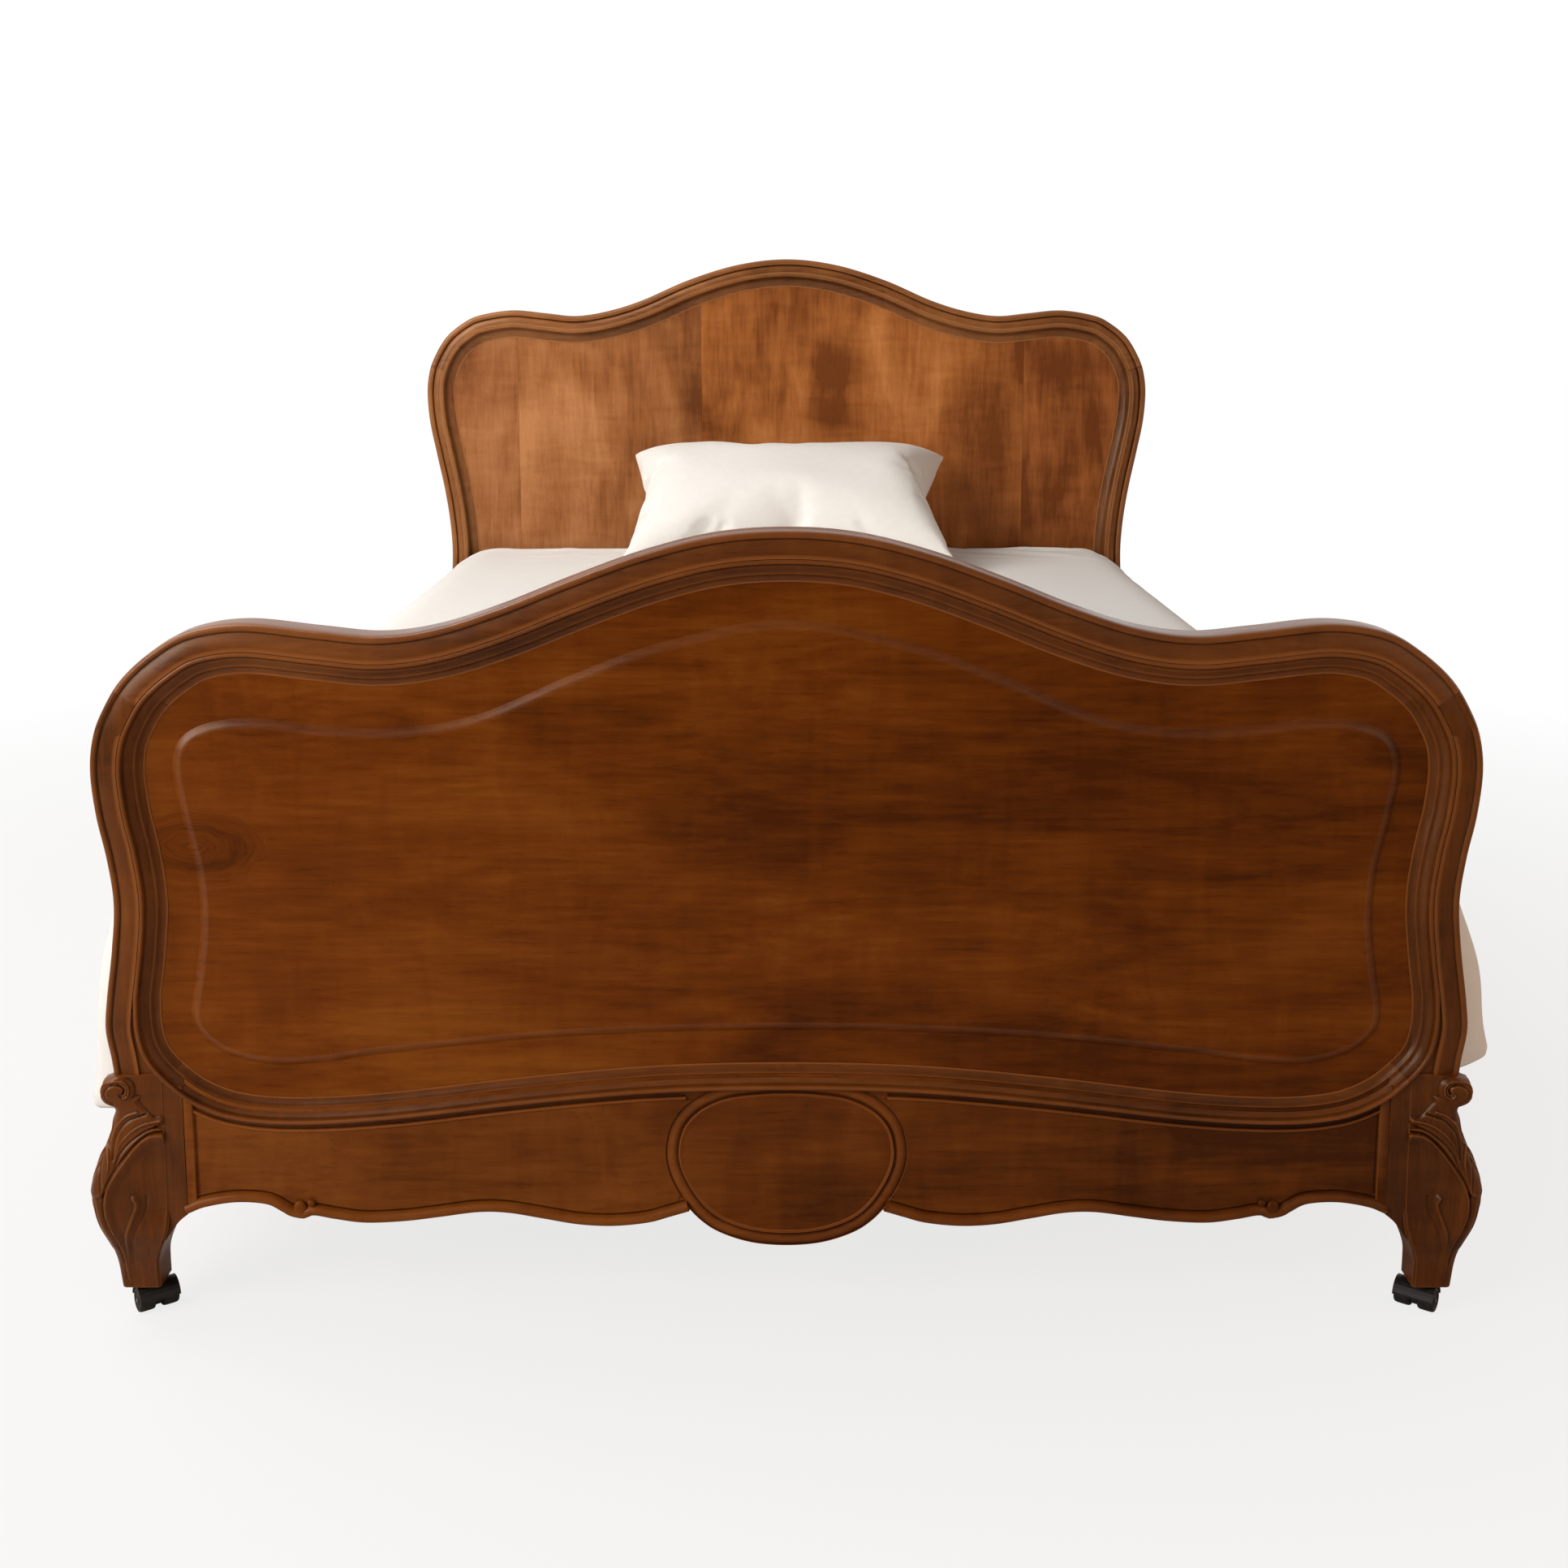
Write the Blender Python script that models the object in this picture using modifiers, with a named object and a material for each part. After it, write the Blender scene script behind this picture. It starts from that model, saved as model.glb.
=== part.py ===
"""Double bed: moulded and carved walnut boards, hooked side rails, slats, bedding and twin-wheel casters.

Metres, +Z up. The foot end faces -Y and the floor is z = 0. Run with blender --background --python part.py.
"""
import math
from types import SimpleNamespace

import bmesh
import bpy
from mathutils import Matrix, Vector

# Clearances
TOUCH = 0.0003              # between pieces that touch
PANEL_PLAY = 0.0006         # around a panel in its seat, for the wood to move

# Whole bed
HALF_WIDTH = 0.775          # centre line to the widest point of either board
BED_LENGTH = 1.985          # footboard front to headboard front
BOARD_DEPTH = 0.052         # front to back through a board's frame
KNEE_FORWARD = 0.018        # how far the knees stand in front of the boards
FOOT_HEIGHT = 0.921
HEAD_HEIGHT = 1.268
FOOT_FRONT_Y = (KNEE_FORWARD - BED_LENGTH - BOARD_DEPTH) / 2
HEAD_FRONT_Y = FOOT_FRONT_Y + BED_LENGTH

# Frame mouldings, measured in from the outer edge and back from the front
BAND_WIDTH = 0.031          # plain rounded band along the outside
BEAD_WIDTH = 0.027          # moulding that holds the panel
BEAD_SEAT = 0.018           # depth of the step that the bead moulding lies in
BEAD_OVERLAP = 0.010        # how far the bead moulding covers the panel's edge
PANEL_THICKNESS = 0.017
BACK_LIP = 0.012            # ledge behind the panel's edge
FIELD_MARGIN = 0.040        # bead moulding to the raised field of the foot panel
FIELD_RISE = 0.004
BEAD_PROFILE = [(TOUCH, 0.009), (0.003, 0.0055), (0.011, 0.0125), (0.016, 0.013), (0.020, 0.0105),
                (BEAD_WIDTH - 0.002, 0.0125)]
CREST_JOINT_OUT = 0.050     # joint of crest rail and post: how far its line runs past the widest point
CREST_JOINT_UP = 0.035      # and how far it rises there
CREST_JOINT_IN = 0.090      # how far the line runs in from the widest point
CREST_JOINT_DOWN = 0.042    # and how far it falls there
OUTLINE_STEP = 0.040        # spacing of the points along a curved outline
EDGE_STEP = 0.028           # spacing along the lower edge
LEG_STEP = 0.014            # spacing down the outside of a leg
CUT_OVER = 0.2              # how far cutting shapes run through the wood
CUT_PAST = 0.01             # how far a shallow cut starts outside the face

# Legs
LEG_TOP = 0.312
LEG_BOTTOM = 0.0355
LEG_JOINT_INSET = 0.085     # widest point of the board to the leg's joint with the lower rail
LEG_BACK_SET = 0.001        # leg's back behind the board's back face
STILE_OVERLAP = 0.017       # how far a stile runs down into its leg

# Side rails and slats
RAIL_SET_IN = 0.053         # widest point of the boards to a rail's inner face
RAIL_THICKNESS = 0.026
RAIL_BOTTOM = 0.285
RAIL_HEIGHT = 0.145
CLEAT_WIDTH = 0.020
CLEAT_HEIGHT = 0.030
CLEAT_TOP = 0.404
CLEAT_END_GAP = 0.060       # cleat end to rail end
SLAT_COUNT = 10
SLAT_WIDTH = 0.095
SLAT_THICKNESS = 0.018
SLAT_END_PLAY = 0.0015
SLAT_ROW_GAP = 0.025        # cleat end to the first or last slat

# Rail hooks
PLATE_WIDTH = 0.021
PLATE_HEIGHT = 0.124
PLATE_THICKNESS = 0.003
HOOK_THICKNESS = 0.005
HOOK_SPACING = 0.048
HOOK_ABOVE = 0.010          # tongue above the hook's seat line
HOOK_BELOW = 0.004          # tongue below the hook's seat line
HOOK_DROP = 0.010           # lip that grips behind the post plate
HOOK_LIP = 0.006

# Bedding
MATTRESS_SIDE_GAP = 0.022   # mattress to each rail's inner face
MATTRESS_END_GAP = 0.0162   # mattress to each board
MATTRESS_THICKNESS = 0.215
MATTRESS_EDGE = 0.060       # radius of the mattress's long edges
MATTRESS_LOWER_EDGE = 0.020
DUVET_THICKNESS = 0.018
DUVET_LEAVES = 42           # degrees above level, where the duvet leaves the mattress's rounded edge
DUVET_STEP = 0.060          # spacing of the points down its drop
DUVET_END_GAP = 0.012
PILLOW_WIDTH = 0.690
PILLOW_HEIGHT = 0.460
PILLOW_THICKNESS = 0.180
PILLOW_EDGE = 0.016
PILLOW_LEAN = math.radians(64)

# Casters
WHEEL_RADIUS = 0.0145
WHEEL_WIDTH = 0.019
WHEEL_EDGE = 0.0025
WHEEL_SIDES = 24
WHEEL_SIDE_GAP = 0.0006
WEB_THICKNESS = 0.007
AXLE_RADIUS = 0.002
AXLE_SIDES = 16
HOOD_GAP = 0.0012           # wheel to hood
HOOD_WALL = 0.0022
WEB_RADIUS = 0.0105
TRAIL = 0.012               # swivel axis to axle
BOSS_RADIUS = 0.009
STEM_RADIUS = 0.004
STEM_LENGTH = 0.040
STEM_SINK = 0.002           # stem's foot inside the boss
SOCKET_WALL = 0.0019
SOCKET_FLANGE_RADIUS = 0.010
SOCKET_FLANGE = 0.0012
PIVOT_INSET = 0.028         # widest point of the board to the swivel axis
FOOT_PIVOT_BACK = 0.040     # footboard front to the swivel axis
HEAD_PIVOT_BACK = 0.022     # headboard front to the swivel axis, so that no wheel rests behind the board
CASTER_YAW = {"foot": math.radians(35), "head": math.radians(-20)}

# Heights and places that follow
AXLE_Z = WHEEL_RADIUS * math.cos(math.pi / WHEEL_SIDES)
RAIL_INNER_X = HALF_WIDTH - RAIL_SET_IN
RAIL_X = RAIL_INNER_X + RAIL_THICKNESS / 2
RAIL_FOOT_Y = FOOT_FRONT_Y + BOARD_DEPTH + TOUCH
RAIL_HEAD_Y = HEAD_FRONT_Y - TOUCH
PLATE_Z = RAIL_BOTTOM + RAIL_HEIGHT / 2
SLAT_BOTTOM = CLEAT_TOP + TOUCH
MATTRESS_BOTTOM = SLAT_BOTTOM + SLAT_THICKNESS + TOUCH
MATTRESS_TOP = MATTRESS_BOTTOM + MATTRESS_THICKNESS
MATTRESS_HALF_WIDTH = RAIL_INNER_X - MATTRESS_SIDE_GAP
PANEL_WALL = BAND_WIDTH + BEAD_WIDTH - BEAD_OVERLAP
PANEL_BACK = BEAD_SEAT + PANEL_THICKNESS + 2 * TOUCH

# Boards: crest and lower points are (share of the half width, share or height), side points are (in from the
# widest point, share), and flank and corner points are (in from the widest point, height). A share of the
# height counts down from the top to the first flank point.
FOOT = SimpleNamespace(
    name="foot", front_y=FOOT_FRONT_Y, height=FOOT_HEIGHT, inward=1,
    crest=[(0, 0), (0.1032, 0.0143), (0.2065, 0.0618), (0.3097, 0.1306), (0.4129, 0.2067),
           (0.5032, 0.2589), (0.5845, 0.2779), (0.671, 0.2637), (0.7742, 0.2447)],
    side=[(0.115, 0.266), (0.075, 0.3183), (0.04, 0.3919), (0.018, 0.4727), (0.005, 0.5487), (0, 0.6437),
          (0.004, 0.7625), (0.013, 0.8789)],
    flank=[(0.018, 0.5), (0.013, 0.445), (0.004, 0.385), (0.001, 0.35), (0.006, 0.315), (0.009, 0.285)],
    bead_end=0.385,
    bead_corner=[(0.036, 0.35), (0.045, 0.315), (0.068, 0.286), (0.1, 0.261), (0.145, 0.244),
                 (0.215, 0.238), (0.322, 0.244)],
    bead_middle=[(0.3794, 0.263), (0.1935, 0.276), (0, 0.28)],
    edge_start=0.131,
    edge_wave=[(0.8645, 0.1395), (0.8194, 0.146), (0.7742, 0.142), (0.751, 0.133), (0.7381, 0.127),
               (0.7174, 0.124), (0.7032, 0.128), (0.671, 0.1235), (0.6258, 0.1195), (0.5677, 0.122),
               (0.5161, 0.127), (0.4581, 0.133), (0.4129, 0.1325), (0.3613, 0.1255), (0.3097, 0.1185),
               (0.2581, 0.1165), (0.2065, 0.121), (0.1742, 0.129), (0.1445, 0.135)],
    edge_middle=[(0.1445, 0.135), (0.1226, 0.12), (0.0968, 0.1085), (0.0516, 0.0965), (0, 0.093)],
    crest_joint=0.4893, stile_joint_inset=0.085, pivot_back=FOOT_PIVOT_BACK)

# The head panel stops above the side rails, where the posts are plain
HEAD = SimpleNamespace(
    name="head", front_y=HEAD_FRONT_Y, height=HEAD_HEIGHT, inward=-1,
    crest=[(0, 0), (0.1355, 0.0169), (0.271, 0.0621), (0.4, 0.1229), (0.4968, 0.1554), (0.5845, 0.1695),
           (0.671, 0.161), (0.7613, 0.1525)],
    side=[(0.115, 0.1681), (0.079, 0.1921), (0.043, 0.2345), (0.017, 0.2938), (0.005, 0.3418),
          (0, 0.404), (0.004, 0.4901), (0.017, 0.589), (0.031, 0.6893), (0.041, 0.7881), (0.045, 0.8884)],
    flank=[(0.04, 0.56), (0.028, 0.48), (0.014, 0.4), (0.01, 0.34), (0.011, 0.31), (0.012, 0.285)],
    bead_end=0.580,
    bead_corner=[(0.073, 0.545), (0.085, 0.52), (0.112, 0.5), (0.16, 0.491)],
    bead_middle=[(0.5161, 0.488), (0, 0.488)],
    edge_start=0.140,
    edge_wave=[(0.8323, 0.162), (0.7613, 0.175), (0.5806, 0.18), (0.2581, 0.176)],
    edge_middle=[(0.2581, 0.176), (0, 0.172)],
    crest_joint=0.322, stile_joint_inset=0.110, pivot_back=HEAD_PIVOT_BACK)
HEAD_SEAMS = (-0.7484, -0.2374, 0.6606)      # shares of the half width

# Leg outlines: outer points are (out from the widest point of the board, height), inner points are (in from
# it, height), front points are (back from the board's front, height). The foot legs have a scroll above the
# knee, and the head legs rise plainly, clear of the side rails.
LEG_KNEE = [(0.007, 0.206), (0.014, 0.186), (0.019, 0.160), (0.019, 0.142), (0.016, 0.122), (0.010, 0.101),
            (0.0035, 0.076), (0.000, 0.048), (-0.002, LEG_BOTTOM)]
LEG_KNEE_FRONT = [(-0.006, 0.218), (-0.015, 0.180), (-KNEE_FORWARD, 0.150), (-0.013, 0.118), (0.000, 0.086),
                  (0.006, 0.060), (0.008, LEG_BOTTOM)]
LEG_INNER = [(0.048, LEG_BOTTOM), (0.0485, 0.068), (0.052, 0.085), (0.060, 0.102), (0.070, 0.122),
             (LEG_JOINT_INSET, 0.142)]
FOOT.leg_outer = [(-0.011, LEG_TOP), (0.004, 0.297), (0.010, 0.280), (0.004, 0.262), (-0.005, 0.248),
                  (0.000, 0.226)] + LEG_KNEE
FOOT.leg_front = [(-0.002, LEG_TOP), (-0.009, 0.282), (0.001, 0.250)] + LEG_KNEE_FRONT
HEAD.leg_outer = [(-0.013, LEG_TOP), (-0.012, 0.272), (-0.004, 0.235)] + LEG_KNEE
HEAD.leg_front = [(0.001, LEG_TOP), (0.001, 0.275), (-0.001, 0.245)] + LEG_KNEE_FRONT

# Duvet drop: (out from the mattress's side, down from its top), along the underside
DUVET_DROP = [(0.030, -0.056), (0.055, -0.115), (0.077, -0.190), (0.092, -0.270), (0.100, -0.350),
              (0.104, -0.414)]


def clear_scene():
    for leftover in list(bpy.data.objects):
        bpy.data.objects.remove(leftover)


def new_collection(name):
    collection = bpy.data.collections.new(name)
    bpy.context.scene.collection.children.link(collection)
    return collection


def material(name, colour, roughness, metallic=0.0):
    made = bpy.data.materials.new(name)
    made.use_nodes = True
    shader = made.node_tree.nodes["Principled BSDF"]
    shader.inputs["Base Color"].default_value = (*colour, 1.0)
    shader.inputs["Roughness"].default_value = roughness
    shader.inputs["Metallic"].default_value = metallic
    return made


clear_scene()
PARTS = new_collection("double_bed")
CUTTERS = new_collection("cutters")
WALNUT = material("walnut", (0.21, 0.085, 0.035), 0.42)
BEECH = material("beech", (0.62, 0.45, 0.28), 0.6)
IRON = material("iron", (0.16, 0.15, 0.14), 0.5, 1.0)
STEEL = material("steel", (0.6, 0.6, 0.6), 0.35, 1.0)
BLACK_PLASTIC = material("black_plastic", (0.02, 0.02, 0.02), 0.5)
COTTON = material("cotton", (0.86, 0.85, 0.83), 0.9)
TICKING = material("ticking", (0.80, 0.78, 0.72), 0.9)


# Curves and outlines

def through(points, keep_from=0, keep_to=None, pieces=12):
    """Fine points along a smooth curve through a few chosen ones, between two of them."""
    chosen = [Vector(p) for p in points]
    ends = [2 * chosen[0] - chosen[1]] + chosen + [2 * chosen[-1] - chosen[-2]]
    last = len(chosen) - 1 if keep_to is None else keep_to
    fine = []
    for i in range(keep_from, last):
        before, start, end, after = ends[i:i + 4]
        for k in range(pieces):
            t = k / pieces
            fine.append(0.5 * (2 * start + (end - before) * t
                               + (2 * before - 5 * start + 4 * end - after) * t ** 2
                               + (3 * start - before - 3 * end + after) * t ** 3))
    fine.append(chosen[last])
    return fine


def spaced(points, step=OUTLINE_STEP):
    """The same open line with evenly spaced points."""
    reach = [0.0]
    for a, b in zip(points, points[1:]):
        reach.append(reach[-1] + (b - a).length)
    count = max(2, math.ceil(reach[-1] / step))
    even = []
    at = 0
    for k in range(count + 1):
        target = reach[-1] * k / count
        while at < len(points) - 2 and reach[at + 1] < target:
            at += 1
        share = (target - reach[at]) / max(reach[at + 1] - reach[at], 1e-9)
        even.append(points[at].lerp(points[at + 1], min(share, 1.0)))
    return even


def shifted(points, distance, closed=False):
    """An outline moved sideways, to the right of its direction of travel."""
    count = len(points)
    moved = []
    for i, point in enumerate(points):
        before = points[i - 1] if closed or i > 0 else points[0]
        after = points[(i + 1) % count] if closed or i < count - 1 else points[-1]
        along = (after - before).normalized()
        moved.append(point + distance * Vector((along.y, -along.x)))
    return moved


def both_sides(half):
    """A right-hand half outline that starts on the centre line, with its mirror image before it."""
    left = [Vector((-p[0], p[1])) for p in reversed(half[1:])]
    return left + [Vector(p) for p in half]


# Building tools

def add_part(name, mesh, finish, collection=PARTS):
    part = bpy.data.objects.new(name, mesh)
    collection.objects.link(part)
    mesh.materials.clear()
    mesh.materials.append(finish)
    return part


def tidy_mesh(mesh, merge=1e-6):
    work = bmesh.new()
    work.from_mesh(mesh)
    bmesh.ops.remove_doubles(work, verts=work.verts, dist=merge)
    bmesh.ops.recalc_face_normals(work, faces=work.faces)
    work.to_mesh(mesh)
    work.free()


def join_flat_faces(mesh):
    """Make each flat side one face, so that later cuts meet no needless edges."""
    work = bmesh.new()
    work.from_mesh(mesh)
    bmesh.ops.dissolve_limit(work, angle_limit=0.001, verts=work.verts, edges=work.edges)
    work.to_mesh(mesh)
    work.free()


def flat_curve(name, points):
    curve = bpy.data.curves.new(name, "CURVE")
    curve.dimensions = "2D"
    line = curve.splines.new("POLY")
    line.points.add(len(points) - 1)
    for slot, point in zip(line.points, points):
        slot.co = (point[0], point[1], 0.0, 1.0)
    line.use_cyclic_u = True
    drawn = bpy.data.objects.new(name, curve)
    CUTTERS.objects.link(drawn)
    return drawn


def curve_to_part(drawn, name, finish, collection):
    bpy.context.view_layer.update()
    seen = drawn.evaluated_get(bpy.context.evaluated_depsgraph_get())
    mesh = bpy.data.meshes.new_from_object(seen)
    mesh.transform(drawn.matrix_world)
    tidy_mesh(mesh)
    bpy.data.objects.remove(drawn)
    return add_part(name, mesh, finish, collection)


FACING_FRONT = Matrix.Rotation(math.pi / 2, 4, "X")
FACING_SIDE = Matrix(((0, 0, 1, 0), (1, 0, 0, 0), (0, 1, 0, 0), (0, 0, 0, 1)))


def plate(name, outline, low, high, finish=WALNUT, collection=PARTS, sideways=False):
    """A flat outline with thickness: (x, z) from y low to high, or (y, z) from x low to high if sideways."""
    drawn = flat_curve(name + "_outline", outline)
    drawn.data.fill_mode = "BOTH"
    drawn.data.extrude = (high - low) / 2
    middle = (low + high) / 2
    if sideways:
        drawn.matrix_world = Matrix.Translation((middle, 0, 0)) @ FACING_SIDE
    else:
        drawn.matrix_world = Matrix.Translation((0, middle, 0)) @ FACING_FRONT
    made = curve_to_part(drawn, name, finish, collection)
    join_flat_faces(made.data)
    return made


def swept_ring(name, path, profile, front_y, finish):
    """A closed moulding: profile points are (in from the path, back from the board's front)."""
    section = flat_curve(name + "_profile", [(across, -back) for across, back in profile])
    drawn = flat_curve(name + "_path", path)
    drawn.data.bevel_mode = "OBJECT"
    drawn.data.bevel_object = section
    drawn.matrix_world = Matrix.Translation((0, front_y, 0)) @ FACING_FRONT
    ring = curve_to_part(drawn, name, finish, PARTS)
    bpy.data.objects.remove(section)
    return ring


def block(name, low, high, finish=WALNUT, collection=PARTS):
    """A box between two corners."""
    work = bmesh.new()
    bmesh.ops.create_cube(work, size=1.0)
    low = Vector(low)
    high = Vector(high)
    size = high - low
    bmesh.ops.transform(work, matrix=Matrix.Translation((low + high) / 2) @ Matrix.Diagonal((*size, 1)),
                        verts=work.verts)
    mesh = bpy.data.meshes.new(name)
    work.to_mesh(mesh)
    work.free()
    return add_part(name, mesh, finish, collection)


def turned(name, profile, sides, finish, collection=PARTS, turn=0.0):
    """A shape turned about Z from (radius, height) points, whose first and last points join up."""
    work = bmesh.new()
    ring = [work.verts.new((r * math.cos(turn), r * math.sin(turn), z)) for r, z in profile]
    edges = [work.edges.new(pair) for pair in zip(ring, ring[1:])]
    if profile[0][0] > 0:
        edges.append(work.edges.new((ring[-1], ring[0])))
    bmesh.ops.spin(work, geom=ring + edges, angle=2 * math.pi, steps=sides, axis=(0, 0, 1), cent=(0, 0, 0),
                   use_merge=True)
    mesh = bpy.data.meshes.new(name)
    work.to_mesh(mesh)
    work.free()
    tidy_mesh(mesh)
    return add_part(name, mesh, finish, collection)


def combine(piece, tool, operation, keep_tool=False):
    """Cut, join or trim a piece with another solid."""
    modifier = piece.modifiers.new("combine", "BOOLEAN")
    modifier.operation = operation
    modifier.solver = "EXACT"
    modifier.object = tool
    bpy.context.view_layer.update()
    seen = piece.evaluated_get(bpy.context.evaluated_depsgraph_get())
    mesh = bpy.data.meshes.new_from_object(seen)
    piece.modifiers.clear()
    finish = piece.data.materials[0]
    piece.data = mesh
    tidy_mesh(mesh)
    mesh.materials.clear()
    mesh.materials.append(finish)
    if not keep_tool:
        bpy.data.objects.remove(tool)


def cut_box(piece, low, high):
    combine(piece, block("cut", low, high, collection=CUTTERS), "DIFFERENCE")


def moved_mesh(part, matrix):
    part.data.transform(matrix)
    part.data.update()


def mirrored(part, name):
    """A left-hand copy of a right-hand piece."""
    mesh = part.data.copy()
    mesh.transform(Matrix.Diagonal((-1, 1, 1, 1)))
    mesh.flip_normals()
    return add_part(name, mesh, part.data.materials[0])


# Boards

def top_outline(board):
    """The board's outside from the left leg over the top to the right leg."""
    rise = board.height - board.flank[0][1]
    half = [(across * HALF_WIDTH, board.height - down * rise) for across, down in board.crest]
    half += [(HALF_WIDTH - inset, board.height - down * rise) for inset, down in board.side]
    half += [(HALF_WIDTH - inset, z) for inset, z in board.flank]
    return spaced(through(both_sides(half)))


def lower_edge(board):
    """The lower rail's lower edge, from the right leg to the left one."""
    start = [(HALF_WIDTH - LEG_JOINT_INSET, board.edge_start)]
    wave = through(start + [(across * HALF_WIDTH, z) for across, z in board.edge_wave])
    half_middle = [(across * HALF_WIDTH, z) for across, z in board.edge_middle]
    middle = list(reversed(through(both_sides(half_middle[::-1]))))
    left_wave = [Vector((-p.x, p.y)) for p in reversed(wave)]
    return spaced(wave, EDGE_STEP)[:-1] + spaced(middle, EDGE_STEP)[:-1] + spaced(left_wave, EDGE_STEP)


def bead_path(board):
    """The closed line between the outer band and the bead moulding, clockwise from the lower left."""
    upper = [p for p in shifted(top_outline(board), BAND_WIDTH) if p.y > board.bead_end]
    corner = [(HALF_WIDTH - inset, z) for inset, z in board.bead_corner]
    right_half = corner + [(across * HALF_WIDTH, z) for across, z in board.bead_middle]
    left_half = [(-x, z) for x, z in reversed(right_half[:-1])]
    lower = [Vector(p) for p in right_half + left_half]
    guide = [upper[-2], upper[-1]] + lower + [upper[0], upper[1]]
    run = spaced(through(guide, 1, len(guide) - 2))
    return upper + run[1:-1]


def panel_cutter(board, path):
    """A stepped solid: the bead moulding's step, the panel's seat behind it, and the open back."""
    wall = PANEL_WALL - BAND_WIDTH
    lip = wall + BACK_LIP
    steps = [(0.0, -CUT_OVER), (0.0, BEAD_SEAT), (wall, BEAD_SEAT), (wall, PANEL_BACK), (lip, PANEL_BACK),
             (lip, CUT_OVER)]
    work = bmesh.new()
    rings = []
    for inset, back in steps:
        outline = shifted(path, inset, True)
        rings.append([work.verts.new((p.x, board.front_y + back, p.y)) for p in outline])
    for near, far in zip(rings, rings[1:]):
        for i in range(len(near)):
            work.faces.new((near[i - 1], near[i], far[i], far[i - 1]))
    work.faces.new(rings[0])
    work.faces.new(rings[-1])
    bmesh.ops.recalc_face_normals(work, faces=work.faces)
    mesh = bpy.data.meshes.new("panel_cutter")
    work.to_mesh(mesh)
    work.free()
    return add_part("panel_cutter", mesh, WALNUT, CUTTERS)


def joint_line(board):
    """Outer and inner end of the joint between crest rail and post, on the right."""
    z = board.height - board.crest_joint * (board.height - board.flank[0][1])
    outer = (HALF_WIDTH + CREST_JOINT_OUT, z + CREST_JOINT_UP)
    inner = (HALF_WIDTH - CREST_JOINT_IN, z - CREST_JOINT_DOWN)
    return outer, inner


def board_blank(board, name):
    outline = top_outline(board) + lower_edge(board)
    return plate(name, outline, board.front_y, board.front_y + BOARD_DEPTH)


def trim(piece, region):
    """Keep only what lies inside a front-view region."""
    middle = sum((corner[1] for corner in piece.bound_box), 0.0) / len(piece.bound_box)
    keeper = plate("keep", region, middle - CUT_OVER, middle + CUT_OVER, collection=CUTTERS)
    combine(piece, keeper, "INTERSECT")


def crest_rail(board, cutter):
    rail = board_blank(board, board.name + "_crest_rail")
    outer, inner = joint_line(board)
    high = board.height + CUT_OVER
    right = [(outer[0], high), (outer[0], outer[1] + TOUCH), (inner[0], inner[1] + TOUCH)]
    trim(rail, right + [(-x, z) for x, z in reversed(right)])
    combine(rail, cutter, "DIFFERENCE", keep_tool=True)


def leg(board):
    """A sawn cabriole leg on the right: the front outline and the side outline cut from one block."""
    outer = through([(HALF_WIDTH + out, z) for out, z in board.leg_outer])
    inner = through([(HALF_WIDTH - inset, z) for inset, z in LEG_INNER])
    front_view = spaced(outer, LEG_STEP) + spaced(inner, OUTLINE_STEP / 2)
    front_view.append(Vector((HALF_WIDTH - LEG_JOINT_INSET, LEG_TOP)))
    front_line = spaced(through([(board.front_y + back, z) for back, z in board.leg_front]), OUTLINE_STEP / 2)
    back = board.front_y + BOARD_DEPTH - LEG_BACK_SET
    side_view = front_line + [Vector((back, LEG_BOTTOM)), Vector((back, LEG_TOP))]
    made = plate("leg", front_view, board.front_y - CUT_OVER, board.front_y + CUT_OVER, collection=CUTTERS)
    side = plate("leg_side", side_view, HALF_WIDTH - CUT_OVER, HALF_WIDTH + CUT_OVER, collection=CUTTERS,
                 sideways=True)
    combine(made, side, "INTERSECT")
    return made


def post(board, cutter):
    """The right post: stile and leg in one, with its caster hole and the room for its rail hooks."""
    piece = board_blank(board, board.name + "_post_right")
    outer, inner = joint_line(board)
    joint_x = HALF_WIDTH - board.stile_joint_inset
    stile_low = LEG_TOP - STILE_OVERLAP
    region = [outer, (outer[0], stile_low), (joint_x, stile_low), (joint_x, inner[1]), inner]
    trim(piece, region)
    combine(piece, leg(board), "UNION")
    combine(piece, cutter, "DIFFERENCE", keep_tool=True)
    cut_hook_room(piece, board)
    pivot = caster_pivot(board)
    bore_radius = STEM_RADIUS + SOCKET_WALL + 2 * TOUCH
    bore_top = LEG_BOTTOM + STEM_LENGTH + TOUCH
    bore_low = LEG_BOTTOM - CUT_PAST
    bore = turned("bore", [(0, bore_low), (bore_radius, bore_low), (bore_radius, bore_top), (0, bore_top)],
                  AXLE_SIDES, WALNUT, CUTTERS)
    moved_mesh(bore, Matrix.Translation((pivot.x, pivot.y, 0)))
    combine(piece, bore, "DIFFERENCE")
    mirrored(piece, board.name + "_post_left")


def lower_rail(board, cutter):
    rail = board_blank(board, board.name + "_lower_rail")
    inner = min(HALF_WIDTH - board.stile_joint_inset, HALF_WIDTH - LEG_JOINT_INSET) - TOUCH
    middle = (board.bead_end + board.height) / 2
    trim(rail, [(inner, 0.0), (inner, middle), (-inner, middle), (-inner, 0.0)])
    combine(rail, cutter, "DIFFERENCE", keep_tool=True)


def bead_moulding(board, path):
    seat = BEAD_SEAT - TOUCH
    profile = [(TOUCH, seat), *BEAD_PROFILE, (BEAD_WIDTH, seat)]
    swept_ring(board.name + "_panel_moulding", path, profile, board.front_y, WALNUT)


def panel(board, path, name):
    outline = shifted(path, PANEL_WALL - BAND_WIDTH + PANEL_PLAY, True)
    front = board.front_y + BEAD_SEAT + TOUCH
    return plate(name, outline, front, front + PANEL_THICKNESS)


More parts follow.
